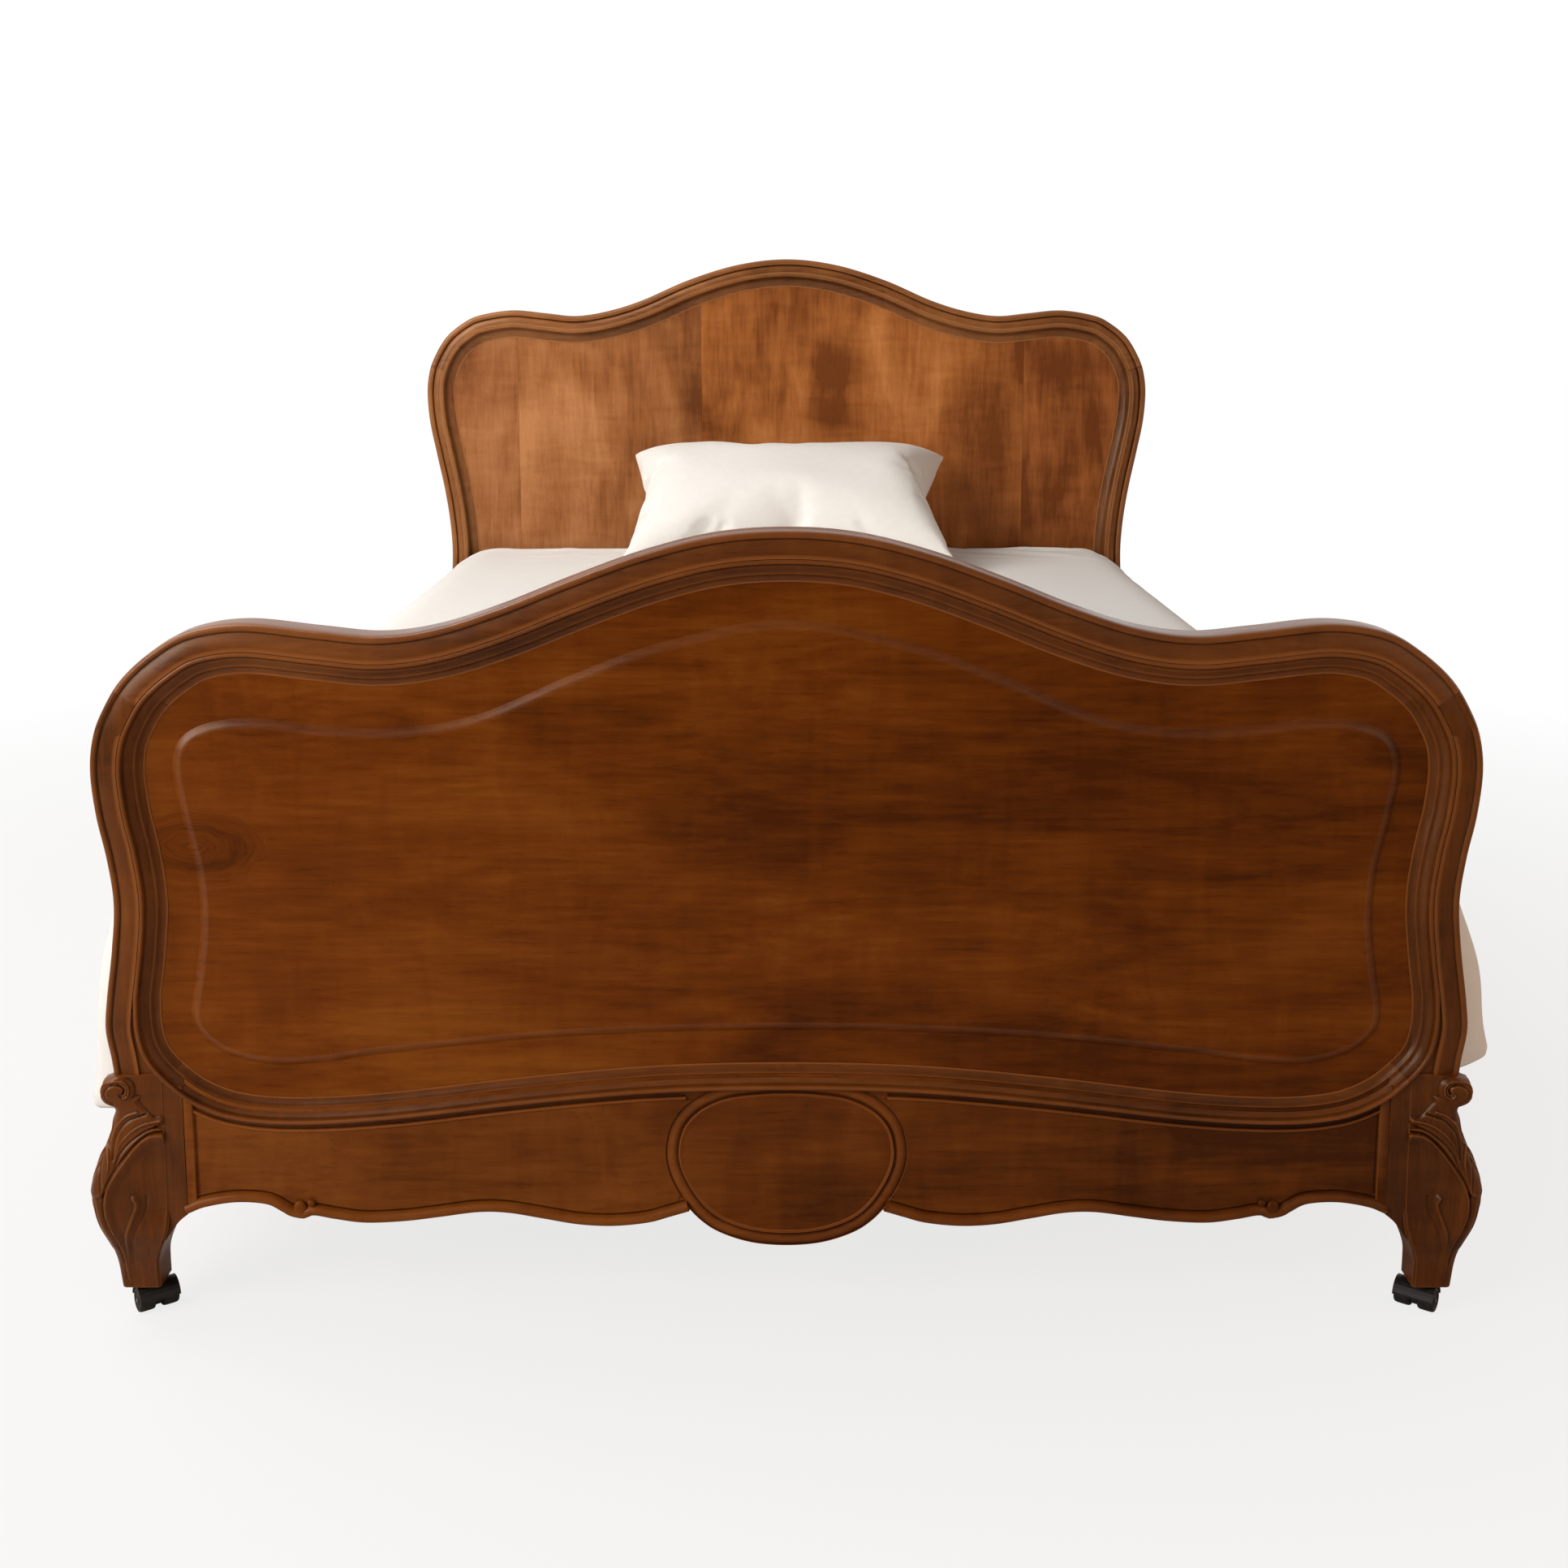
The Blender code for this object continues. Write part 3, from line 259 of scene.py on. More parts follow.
def flat_line(points, closed):
    """A flat curve object through points."""
    curve = bpy.data.curves.new("line", "CURVE")
    curve.dimensions = "2D"
    draw_run(curve, points, closed)
    drawn = bpy.data.objects.new("line", curve)
    scene.collection.objects.link(drawn)
    return drawn


def take_mesh(work, drawn, matrix):
    """Adds a curve's mesh to a bmesh in its place, drops the curve, and returns the new vertices."""
    bpy.context.view_layer.update()
    seen = drawn.evaluated_get(bpy.context.evaluated_depsgraph_get())
    mesh = bpy.data.meshes.new_from_object(seen)
    mesh.transform(matrix)
    before = len(work.verts)
    faces_before = len(work.faces)
    work.from_mesh(mesh)
    bpy.data.meshes.remove(mesh)
    bpy.data.objects.remove(drawn)
    work.verts.ensure_lookup_table()
    work.faces.ensure_lookup_table()
    bmesh.ops.recalc_face_normals(work, faces=work.faces[faces_before:])
    return work.verts[before:]


def new_wood():
    """An empty bmesh whose points can be marked as hollow or proud."""
    work = bmesh.new()
    work.verts.layers.float.new("hollow")
    return work


def mark_hollows(work, verts):
    """Notes how hollow (above 0) or how proud (below 0) each point is. The finish uses it for wax and painted
    shade in the hollows, and for wear and a painted highlight on the proud edges.
    """
    layer = work.verts.layers.float["hollow"]
    work.normal_update()
    values = {}
    for vert in verts:
        ways = [(edge.other_vert(vert).co - vert.co).normalized() for edge in vert.link_edges]
        values[vert] = sum(way.dot(vert.normal) for way in ways) / max(len(ways), 1)
    for vert in verts:
        vert[layer] = values[vert]


def run_moulding(work, path, profile, front, closed=False):
    """Planes a moulding along a path: profile points are (in from the path, back from the front), in mm."""
    section = flat_line([(across / 1000, -back / 1000) for across, back in profile], True)
    track = flat_line(path, closed)
    track.data.bevel_mode = "OBJECT"
    track.data.bevel_object = section
    track.data.use_fill_caps = not closed
    new = take_mesh(work, track, Matrix.Translation((0, front, 0)) @ Matrix.Rotation(math.pi / 2, 4, "X"))
    bpy.data.objects.remove(section)
    mark_hollows(work, new)


def saw_plate(work, outlines, front, back):
    """A flat board between two depths. The first outline is its edge, and the others are openings."""
    drawn = flat_line(outlines[0], True)
    for hole in outlines[1:]:
        draw_run(drawn.data, hole, True)
    drawn.data.fill_mode = "BOTH"
    drawn.data.extrude = (back - front) / 2
    middle = Matrix.Translation((0, (front + back) / 2, 0))
    return take_mesh(work, drawn, middle @ Matrix.Rotation(math.pi / 2, 4, "X"))


def finished(work, name, finish, sharp=38):
    """Makes the object: smooth faces, with crisp edges where they meet at more than an angle in degrees."""
    bmesh.ops.remove_doubles(work, verts=work.verts, dist=1e-6)
    bmesh.ops.recalc_face_normals(work, faces=work.faces)
    mesh = bpy.data.meshes.new(name)
    work.to_mesh(mesh)
    work.free()
    mesh.shade_smooth()
    mesh.set_sharp_from_angle(angle=math.radians(sharp))
    mesh.materials.append(finish)
    piece = bpy.data.objects.new(name, mesh)
    scene.collection.objects.link(piece)
    return piece


def left_hand(work):
    """A mirrored copy for the other side of the bed."""
    other = work.copy()
    bmesh.ops.scale(other, vec=(-1, 1, 1), verts=other.verts)
    bmesh.ops.reverse_faces(other, faces=other.faces)
    return other


def ramp(tree, value, stops):
    """A colour for a value, blended between (position, colour) stops."""
    made = node(tree, "ValToRGB", {"Fac": value})
    made.color_ramp.elements[0].position = stops[0][0]
    made.color_ramp.elements[0].color = (*stops[0][1], 1)
    made.color_ramp.elements[1].position = stops[-1][0]
    made.color_ramp.elements[1].color = (*stops[-1][1], 1)
    for position, colour in stops[1:-1]:
        made.color_ramp.elements.new(position).color = (*colour, 1)
    return made.outputs["Color"]


def new_finish(name):
    """A new material, its node tree and its shader."""
    made = bpy.data.materials.new(name)
    made.use_nodes = True
    return made, made.node_tree, made.node_tree.nodes["Principled BSDF"]


def figure(tree, along, length, across, detail, distortion=0.0, roughness=0.55):
    """Noise drawn out along the grain, by how often it changes in a metre along it and across it."""
    lie = node(tree, "VectorMath", {0: along, 1: (length, across, across)}, operation="MULTIPLY").outputs[0]
    return node(tree, "TexNoise", {"Vector": lie, "Scale": 1.0, "Detail": detail, "Roughness": roughness,
                                   "Distortion": distortion}).outputs["Fac"]


def relieve(tree, shader, height, strength, distance):
    """Gives a finish its fine relief."""
    bump = node(tree, "Bump", {"Strength": strength, "Distance": distance, "Height": height})
    tree.links.new(bump.outputs["Normal"], shader.inputs["Normal"])


GRAIN = {"x": (0, 0, 0), "y": (0, 0, -math.pi / 2), "z": (0, math.pi / 2, 0)}


def walnut(name, grain, dark, middle, light, start, polish=0.14, mix=(0.46, 0.22, 0.18, 0.14), knots=(),
           shades=(), painted_falloff=0.0):
    """Waxed walnut: slow clouds of colour, drawn-out figure, fine streaks and open pores along the grain, a
    faint ripple across it, dark wax with painted shade in the hollows, and paler worn edges with a painted
    highlight. On a board's front, knots are (x, z, size, how far they draw the grain in) and shades are
    darker clouds (x, z, half width, half height, depth), some of them painted shade. The last argument paints
    a fall
    of light across the piece: how much paler it gets per metre to the right."""
    made, tree, shader = new_finish(name)
    front = node(tree, "TexCoord").outputs["Object"]
    place = front

    def gap_from(x, z, wide, high):
        """The way from a spot on the front, and its length in half widths and half heights."""
        flat = node(tree, "VectorMath", {0: front, 1: (x, 0, z)}, operation="SUBTRACT").outputs[0]
        shares = (1 / wide, 0, 1 / high)
        even = node(tree, "VectorMath", {0: flat, 1: shares}, operation="MULTIPLY").outputs[0]
        return flat, node(tree, "VectorMath", {0: even}, operation="LENGTH").outputs["Value"]

    def fading(value, reach, strength):
        """Full strength at 0 and nothing from a reach on."""
        return node(tree, "MapRange", {"Value": value, "From Min": 0.0, "From Max": reach, "To Min": strength,
                                       "To Max": 0.0}, interpolation_type="SMOOTHERSTEP").outputs[0]

    rims = []
    cores = []
    for x, z, size, pull in knots:
        gap, far = gap_from(x, z, 2.0 * size, size)
        unevenness = node(tree, "TexNoise", {"Vector": front, "Scale": 45.0, "Detail": 2.0}).outputs["Fac"]
        far = added(tree, far, scaled(tree, added(tree, unevenness, -0.5), 1.8))
        pulled = fading(far, 8.0, -pull)
        drawn_in = node(tree, "VectorMath", {0: gap, "Scale": pulled}, operation="SCALE").outputs[0]
        place = node(tree, "VectorMath", {0: place, 1: drawn_in}, operation="ADD").outputs[0]
        from_rim = node(tree, "Math", {0: added(tree, far, -0.6)}, operation="ABSOLUTE").outputs[0]
        rims.append(fading(from_rim, 0.3, 0.35))
        cores.append(fading(far, 2.0, 9.0 * size))
    along = node(tree, "Mapping", {"Vector": place, "Location": start, "Rotation": GRAIN[grain]}).outputs[0]
    bends = node(tree, "TexNoise", {"Vector": along, "Scale": 2.6, "Detail": 1.0}).outputs["Fac"]
    bends = node(tree, "CombineXYZ", {1: scaled(tree, added(tree, bends, -0.5), 0.09)}).outputs[0]
    along = node(tree, "VectorMath", {0: along, 1: bends}, operation="ADD").outputs[0]
    clouds = figure(tree, along, 2.0, 4.5, 3.0, 0.6)
    drawn_out = figure(tree, along, 3.0, 18.0, 4.0, 1.4)
    streaks = figure(tree, along, 11.0, 150.0, 4.0)
    ripple = figure(tree, along, 30.0, 8.0, 3.0, 1.0)
    pores = ranged(tree, figure(tree, along, 30.0, 1100.0, 2.0), 0.56, 0.70)
    parts = (clouds, drawn_out, streaks, ripple)
    tone = added(tree, *[scaled(tree, part, weight) for part, weight in zip(parts, mix)])
    # Painted light: the tone changes across the piece as the light from the left falls off.
    if painted_falloff:
        tone = added(tree, tone, scaled(tree, node(tree, "SeparateXYZ", {0: front}).outputs["X"], painted_falloff))
    for x, z, wide, high, depth in shades:
        cloud = fading(gap_from(x, z, wide, high)[1], 1.6, -2 * depth)
        tone = added(tree, tone, scaled(tree, cloud, drawn_out))
    tone = added(tree, tone, *cores)
    colour = ramp(tree, tone, [(0.38, dark), (0.50, middle), (0.63, light)])
    hollow = node(tree, "Attribute", attribute_name="hollow", attribute_type="GEOMETRY").outputs["Fac"]
    # Painted shade: the hollows darken, partly as wax lodged in them and partly as the shade that falls
    # there.
    wax_and_painted_shade = ranged(tree, hollow, 0.02, 0.16, 0.0, 0.72)
    dirt_and_painted_shade = added(tree, wax_and_painted_shade, scaled(tree, pores, 0.20), *rims)
    shade = node(tree, "Mix", {0: dirt_and_painted_shade, 6: colour, 7: (dark[0] * 0.16, dark[1] * 0.12, dark[2] * 0.12, 1)},
                 data_type="RGBA").outputs[2]
    # Painted highlight: proud edges and ridges grow paler, partly as wear and partly as a glint of light on
    # them.
    wear_and_painted_highlight = ranged(tree, hollow, -0.04, -0.22, 0.0, 0.5)
    shade = node(tree, "Mix", {0: wear_and_painted_highlight, 6: shade, 7: (*[c * 1.6 + 0.015 for c in light], 1)},
                 data_type="RGBA").outputs[2]
    tree.links.new(shade, shader.inputs["Base Color"])
    rubbed = added(tree, scaled(tree, streaks, 0.6), scaled(tree, clouds, 0.4))
    tree.links.new(ranged(tree, rubbed, 0.35, 0.65, 0.24, 0.37), shader.inputs["Roughness"])
    relief = added(tree, scaled(tree, pores, -0.7), scaled(tree, streaks, 0.5))
    relieve(tree, shader, relief, 0.16, 0.0006)
    shader.inputs["Specular IOR Level"].default_value = polish
    shader.inputs["Specular Tint"].default_value = (1.0, 0.88, 0.74, 1.0)
    return made


FOOT_SPACING = 0.007
FOOT_JOINT = 0.744
foot_line = smooth_line(whole(FOOT_CREST), FOOT_SPACING)
# The two darker clouds low on the legs are painted shade, where less light reaches them.
POST_WALNUT = walnut("post_walnut", "z", (0.067, 0.0155, 0.0010), (0.134, 0.0330, 0.0023),
                     (0.196, 0.0555, 0.006), (0.3, 0.2, 0.7), polish=0.24,
                     shades=[(-0.75, 0.13, 0.15, 0.13, 0.10), (0.75, 0.13, 0.15, 0.13, 0.07)])

FOOT_RING_LOW = [(0.739, 0.350), (0.730, 0.315), (0.707, 0.286), (0.675, 0.261), (0.630, 0.244),
                 (0.560, 0.238), (0.453, 0.244), (0.294, 0.263), (0.15, 0.276), (0, 0.280)]


def panel_opening(crest, low_half, meet, spacing):
    """The closed line of the moulding round a panel: it follows the crest's band down to the height where it
    meets a lower line, which is given as its right half. The lower line's right half and the whole of it come
    first."""
    top = [p for p in offset(crest, BAND_WIDTH) if p.y > meet]
    beyond = (-low_half[-2][0], low_half[-2][1])
    right = smooth_line([top[-4], top[-1]] + low_half + [beyond], spacing)
    right = [p for p in right if p.y < top[-1].y and p.x > spacing / 2]
    low = right + [Vector(low_half[-1])] + [Vector((-p.x, p.y)) for p in reversed(right)]
    return right, low, evenly(top + low + top[:1], spacing)[:-1]


ring_low_right, ring_low, foot_ring = panel_opening(foot_line, FOOT_RING_LOW, 0.385, FOOT_SPACING)

LEG_TOP = 0.2985
LEG_FOOT = 0.0357
LEG_OUT = [(0.757, 0.312), (0.761, 0.300), (0.769, 0.2955), (0.775, 0.2885), (0.7775, 0.280),
           (0.777, 0.273), (0.773, 0.2665), (0.766, 0.262), (0.7635, 0.256), (0.765, 0.247),
           (0.7700, 0.230), (0.777, 0.2125), (0.784, 0.196), (0.7905, 0.179), (0.794, 0.160),
           (0.7935, 0.142), (0.790, 0.122), (0.784, 0.101), (0.7775, 0.076), (0.774, 0.048),
           (0.7725, 0.0355), (0.7722, 0.030)]
LEG_IN = [(0.709, 0.312), (0.710, 0.170), (0.7105, 0.135), (0.712, 0.112), (0.7175, 0.096), (0.7235, 0.081),
          (0.727, 0.068), (0.7275, 0.052), (0.7273, 0.0355), (0.7272, 0.030)]
LEG_FRONT = [(0.004, 0.312), (-0.003, 0.300), (-0.007, 0.282), (0.000, 0.258), (-0.001, 0.240),
             (-0.005, 0.218), (-0.013, 0.180), (-0.016, 0.150), (-0.012, 0.118), (0.000, 0.086),
             (0.0065, 0.060), (0.0082, 0.0355), (0.0083, 0.030)]
LEG_BACK = 0.0505
KNEE_HEIGHT = 0.15
KNEE_REACH = 0.11
KNEE_ROUNDING = 0.010
CORNER_ROUNDING = 0.007
APRON_FOOT = 0.085
APRON_RISE = 0.05
BODY_HEIGHT = 0.0034
BODY_SLOPE = 0.0045
LEAF_BODY = [(0.800, 0.266), (0.7403, 0.275), (0.7378, 0.268), (0.7329, 0.2607), (0.7233, 0.2484),
             (0.7118, 0.2449), (0.7135, 0.2381), (0.721, 0.2355), (0.7111, 0.232), (0.7098, 0.2268),
             (0.716, 0.2207), (0.7298, 0.2151), (0.7441, 0.2025), (0.7583, 0.1856), (0.7663, 0.171),
             (0.800, 0.160)]
SCROLL_BODY = [(0.766, 0.2615), (0.779, 0.267), (0.786, 0.278), (0.782, 0.293), (0.766, 0.3015),
               (0.752, 0.2985), (0.7425, 0.291), (0.7405, 0.279), (0.748, 0.268)]
RIBS = [
    ([(0.7141, 0.2268), (0.7294, 0.2244), (0.7436, 0.2124), (0.7604, 0.1897), (0.771, 0.1731),
      (0.776, 0.1544), (0.776, 0.1357), (0.7705, 0.1106), (0.7658, 0.0897), (0.7632, 0.0645),
      (0.7621, 0.0476)], 14.0, 4.0, 6.4, 1.0),
    ([(0.715, 0.2435), (0.7329, 0.2400), (0.747, 0.2320), (0.759, 0.2190), (0.7635, 0.2040)],
     4.5, 5.5, 5.4, 3.6),
    ([(0.7400, 0.2550), (0.7530, 0.2500), (0.7625, 0.2380), (0.7675, 0.2220)], 5.0, 5.0, 5.4, 3.8),
    ([(0.7723, 0.2207), (0.7712, 0.2062), (0.7725, 0.1897), (0.7764, 0.1752)], 4.2, 4.2, 5.6, 3.4),
    ([(0.7860, 0.1900), (0.7875, 0.1650), (0.7860, 0.1427), (0.781, 0.1168), (0.7735, 0.0882)],
     5.0, 5.0, 2.6, 0.8),
    ([(0.7467, 0.1534), (0.7443, 0.144), (0.75, 0.1274), (0.7569, 0.1085), (0.7595, 0.0855),
      (0.7606, 0.0581)], 6.0, 4.5, 3.2, 0.8),
    ([(0.7652, 0.2634), (0.7736, 0.2689), (0.7769, 0.2781), (0.7734, 0.2893), (0.7634, 0.2948),
      (0.7525, 0.2938), (0.7463, 0.2863), (0.748, 0.2765), (0.7549, 0.2736), (0.758, 0.2781)],
     4.0, 3.8, 4.6, 6.5)]
CUTS = [
    ([(0.721, 0.2355), (0.7329, 0.2309), (0.7491, 0.2196), (0.7605, 0.2052), (0.7646, 0.1918)],
     2.4, 3.0, 1.4),
    ([(0.7135, 0.2301), (0.7292, 0.2277), (0.745, 0.2155), (0.7621, 0.1938), (0.7717, 0.1783),
      (0.7786, 0.1607), (0.7797, 0.1399), (0.7751, 0.1169), (0.7686, 0.0918), (0.7659, 0.0687)],
     2.4, 3.2, 0.8),
    ([(0.7309, 0.2519), (0.7496, 0.2453), (0.761, 0.233), (0.7656, 0.2186), (0.767, 0.2021)],
     2.4, 2.8, 1.4),
    ([(0.7738, 0.2240), (0.7790, 0.2021), (0.7805, 0.1835), (0.7800, 0.1648)], 2.2, 2.4, 1.0),
    ([(0.7655, 0.2668), (0.7715, 0.2725), (0.7732, 0.2795), (0.7700, 0.2868), (0.763, 0.2905),
      (0.7555, 0.2893), (0.7512, 0.2840), (0.7535, 0.2790)], 1.9, 1.6, 3.0),
    ([(0.735, 0.1524), (0.7369, 0.1357), (0.7457, 0.1169), (0.752, 0.0981), (0.7547, 0.0687)],
     3.0, 1.4, 0.4)]


def at_height(line, z):
    """The first value of a (value, height) line at a height."""
    for (value, high), (next_value, low) in zip(line, line[1:]):
        if high >= z >= low:
            return value + (next_value - value) * (high - z) / max(high - low, 1e-9)
    return line[-1][0] if z < line[-1][1] else line[0][0]


def nearest(line, here):
    """How far a point is from a line, how far along it that is, and on which side."""
    best = (1.0, 0.0, 0.0)
    for i in range(len(line) - 1):
        span = line[i + 1] - line[i]
        t = max(0.0, min(1.0, (here - line[i]).dot(span) / span.length_squared))
        across = here - line[i] - t * span
        if across.length < best[0]:
            best = (across.length, (i + t) / (len(line) - 1), across.x * span.y - across.y * span.x)
    return best


def within(outline, here):
    """True where a point lies inside a closed outline."""
    inside = False
    for a, b in zip(outline, outline[1:] + outline[:1]):
        if (a.y > here.y) != (b.y > here.y) and here.x < a.x + (b.x - a.x) * (here.y - a.y) / (b.y - a.y):
            inside = not inside
    return inside


def carved_height(carving, x, z):
    """Relief of the leaf at a point: raised bodies, ribs that fall away further on one side than on the
    other, and V-cuts between them."""
    bodies, ribs, cuts = carving
    here = Vector((x, z))
    tallest = 0.0
    for outline in bodies:
        if within(outline, here):
            edge = min(1.0, nearest(outline + outline[:1], here)[0] / BODY_SLOPE)
            tallest = max(tallest, BODY_HEIGHT * edge * (2 - edge))
    for line, box, right, left, high, high_end in ribs:
        if box[0] < x < box[1] and box[2] < z < box[3]:
            gap, share, side = nearest(line, here)
            fall = gap / ((right if side > 0 else left) * (1 - 0.35 * share))
            if fall < 1:
                height = high + (high_end - high) * share
                tallest = max(tallest, height * (1 - fall) ** 2 * (1 + 2 * fall))
    deepest = 0.0
    for line, box, wide, deep, deep_end in cuts:
        if box[0] < x < box[1] and box[2] < z < box[3]:
            gap, share, side = nearest(line, here)
            if gap < wide:
                deepest = max(deepest, (deep + (deep_end - deep) * share) * (1 - gap / wide))
    return tallest - deepest


def cutting_list(strokes):
    """Strokes as smooth lines, each with the box that it can reach and its sizes turned from mm to metres.
    The sizes of a rib are its widths to the right and left and its height at the start and end of the line,
    and those of a cut are its half width and its depth at the start and end."""
    fine = []
    for points, *sizes in strokes:
        line = smooth_line(points, 0.003)
        reach = max(sizes) / 1000
        box = (min(p.x for p in line) - reach, max(p.x for p in line) + reach,
               min(p.y for p in line) - reach, max(p.y for p in line) + reach)
        fine.append((line, box, *[size / 1000 for size in sizes]))
    return fine


def leg_section(left, right, flush, front, back, corner):
    """Points round a leg from its inner back corner, each with the way it faces: inner side, front, rounded
    corner, outer side and back. The front swells from flush at the inner side to the knee at the corner."""
    small = 0.003

    def side(start, end, count, turn):
        """Points along a straight side, without its last one."""
        (x0, y0), (x1, y1) = start, end
        return [(x0 + (x1 - x0) * k / count, y0 + (y1 - y0) * k / count, turn) for k in range(count)]

    points = side((left, back - small), (left, flush + small), 16, 0.0)
    points += side((left, flush + small), (left + small, flush), 4, 0.0)
    for k in range(60):
        share = k / 60
        swell = share * share * (3 - 2 * share)
        x = left + small + (right - corner - left - small) * share
        points.append((x, flush + (front - flush) * swell, 0.0))
    for k in range(18):
        turn = math.pi / 2 * k / 18
        x = right - corner + corner * math.sin(turn)
        points.append((x, front + corner - corner * math.cos(turn), turn))
    outward = math.pi / 2
    points += side((right, front + corner), (right, back - small), 30, outward)
    points += side((right, back - small), (right - small, back), 4, outward)
    points += side((right - small, back), (left + small, back), 16, outward)
    points += side((left + small, back), (left, back - small), 4, outward)
    return points


def carve_leg(work, front_y, outer, inner, front, carving, stations):
    """A cabriole leg drawn out of a grid: its section goes round it, and its outlines go up it."""
    lines = [smooth_line(line, 0.002) for line in (outer, inner, front)]
    around = len(leg_section(0, 1, 0, 0, 1, 0.01))
    grid = bmesh.ops.create_grid(work, x_segments=around, y_segments=stations, size=1)["verts"]
    rows = {}
    for vert in grid:
        rows.setdefault(round((vert.co.y + 1) / 2 * stations), []).append(vert)
    for row, verts in rows.items():
        z = LEG_FOOT + (LEG_TOP - LEG_FOOT) * row / stations
        right, left, near = (at_height(line, z) for line in lines)
        corner = CORNER_ROUNDING + KNEE_ROUNDING * max(0.0, 1 - abs(z - KNEE_HEIGHT) / KNEE_REACH)
        joined = max(0.0, min(1.0, (z - APRON_FOOT) / APRON_RISE))
        flush = near + joined * max(0.0, 0.004 - near)
        section = leg_section(left, right, flush, near, LEG_BACK, corner)
        arris = right - 0.293 * corner
        verts.sort(key=lambda v: v.co.x)
        for k, vert in enumerate(verts):
            x, y, turn = section[k % around]
            seen_x = x
            if turn > math.pi / 4:
                spread = corner * (turn - math.pi / 4) + max(0.0, y - near - corner)
                seen_x = arris - spread
            rise = 0.0
            if y < LEG_BACK - 0.006 and x > left + 0.002:
                rise = carved_height(carving, seen_x, z)
            vert.co = (x + rise * math.sin(turn), front_y + y - rise * math.cos(turn), z)
    bmesh.ops.remove_doubles(work, verts=grid, dist=1e-6)
    ends = [e for e in work.edges if e.is_boundary]
    bmesh.ops.holes_fill(work, edges=ends, sides=0)
    bmesh.ops.recalc_face_normals(work, faces=work.faces)
    mark_hollows(work, work.verts)


right_post = new_wood()
bodies = [smooth_line(outline, 0.003, closed=True) for outline in (LEAF_BODY, SCROLL_BODY)]
leaf = (bodies, cutting_list(RIBS), cutting_list(CUTS))
carve_leg(right_post, FOOT_Y, LEG_OUT, LEG_IN, LEG_FRONT, leaf, 210)
run_moulding(right_post, below(foot_line, FOOT_JOINT), FOOT_BAND, FOOT_Y)
SHOULDER = [(0.6901, 0.1278), (0.695, 0.124), (0.700, 0.1195), (0.705, 0.1135), (0.7105, 0.105),
            (0.718, 0.0945), (0.730, 0.110)]
shoulder = [Vector(p) for p in SHOULDER + [(0.755, 0.20), (0.757, 0.340)]]
tucked = [p for p in offset(ring_low_right, 0.007) if 0.690 <= p.x]
shoulder += tucked + [Vector((SHOULDER[0][0], tucked[-1].y))]
saw_plate(right_post, [shoulder], FOOT_Y + 0.0048, FOOT_Y + 0.051)
left_post = left_hand(right_post)
for work, side in ((right_post, "right"), (left_post, "left")):
    post = finished(work, f"foot_post_{side}_carved", POST_WALNUT)
    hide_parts(f"foot_post_{side}")
    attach(post, "bed")


# Foot crest rail: one waved length of walnut across the top of the footboard, with the same rounded band as
# the posts. It is glued to them in a fine joint, square to the moulding.

CREST_TONES = [(0.070, 0.0160, 0.0009), (0.143, 0.0345, 0.0022), (0.208, 0.0580, 0.006)]
CREST_WALNUT = walnut("crest_walnut", "x", *CREST_TONES, (1.7, 0.4, 0.1), polish=0.34)
crest = new_wood()
run_moulding(crest, between_ends(foot_line, FOOT_JOINT + JOINT_GAP), FOOT_BAND, FOOT_Y)
foot_crest = finished(crest, "foot_crest_rail_moulded", CREST_WALNUT)
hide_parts("foot_crest_rail")
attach(foot_crest, "bed")


# Foot panel moulding: a closed run of walnut, glued into the frame, that holds the panel. A bead stands at
# its outer edge, and from a quirk beside it the moulding falls to the panel in a hollow slope with one small
# step.

FOOT_RING = [(0.3, 17.7), (0.3, 1.8), (1.0, 1.0), (2.2, 0.45), (3.6, 0.5), (4.7, 1.3), (5.4, 2.8),
             (6.0, 4.8), (6.8, 6.0), (8, 6.6), (9.5, 7.5), (11, 8.8), (12.6, 10.3), (14.2, 11.4),
             (15.8, 11.8), (17, 12.0), (17.8, 12.9), (18.8, 14.3), (20.2, 15.5), (22, 16.4), (24.4, 17.2),
             (27, 17.7)]


def upright_grain(work):
    """Marks the upright lengths of a moulding, which are cut from wood with upright grain."""
    for face in work.faces:
        longest = max(face.edges, key=lambda e: e.calc_length())
        along = longest.verts[0].co - longest.verts[1].co
        face.material_index = int(abs(along.z) > abs(along.x))


ring = new_wood()
run_moulding(ring, foot_ring, FOOT_RING, FOOT_Y, closed=True)
upright_grain(ring)
foot_moulding = finished(ring, "foot_panel_moulding_run", CREST_WALNUT)
foot_moulding.data.materials.append(POST_WALNUT)
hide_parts("foot_panel_moulding")
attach(foot_moulding, "bed")


# Foot panel: one wide walnut board with the grain lying across, and a raised field with a hollowed edge. It
# is held in the frame by the moulding.

FIELD = [(0, 0.824), (0.138, 0.798), (0.242, 0.760), (0.34, 0.718), (0.424, 0.702), (0.509, 0.703),
         (0.585, 0.712), (0.640, 0.708), (0.676, 0.690), (0.689, 0.655), (0.681, 0.596), (0.668, 0.533),
         (0.666, 0.474), (0.673, 0.416), (0.681, 0.370), (0.674, 0.341), (0.645, 0.316), (0.595, 0.302),
         (0.530, 0.304), (0.454, 0.315), (0.25, 0.335), (0, 0.343)]
FIELD_EDGE = [(-0.8, 18.3), (0.0, 18.9), (0.7, 19.3), (1.4, 19.2), (2.2, 18.6), (4.0, 17.4), (6.0, 16.1),
              (8.0, 15.0), (9.6, 14.3), (10.8, 13.9), (12.0, 13.7), (13.4, 13.6)]
FIELD_SHADES = [(-0.60, 0.58, 0.16, 0.30, 0.08), (0.35, 0.64, 0.22, 0.06, 0.03),
                (0.0, 0.36, 0.26, 0.06, 0.04)]
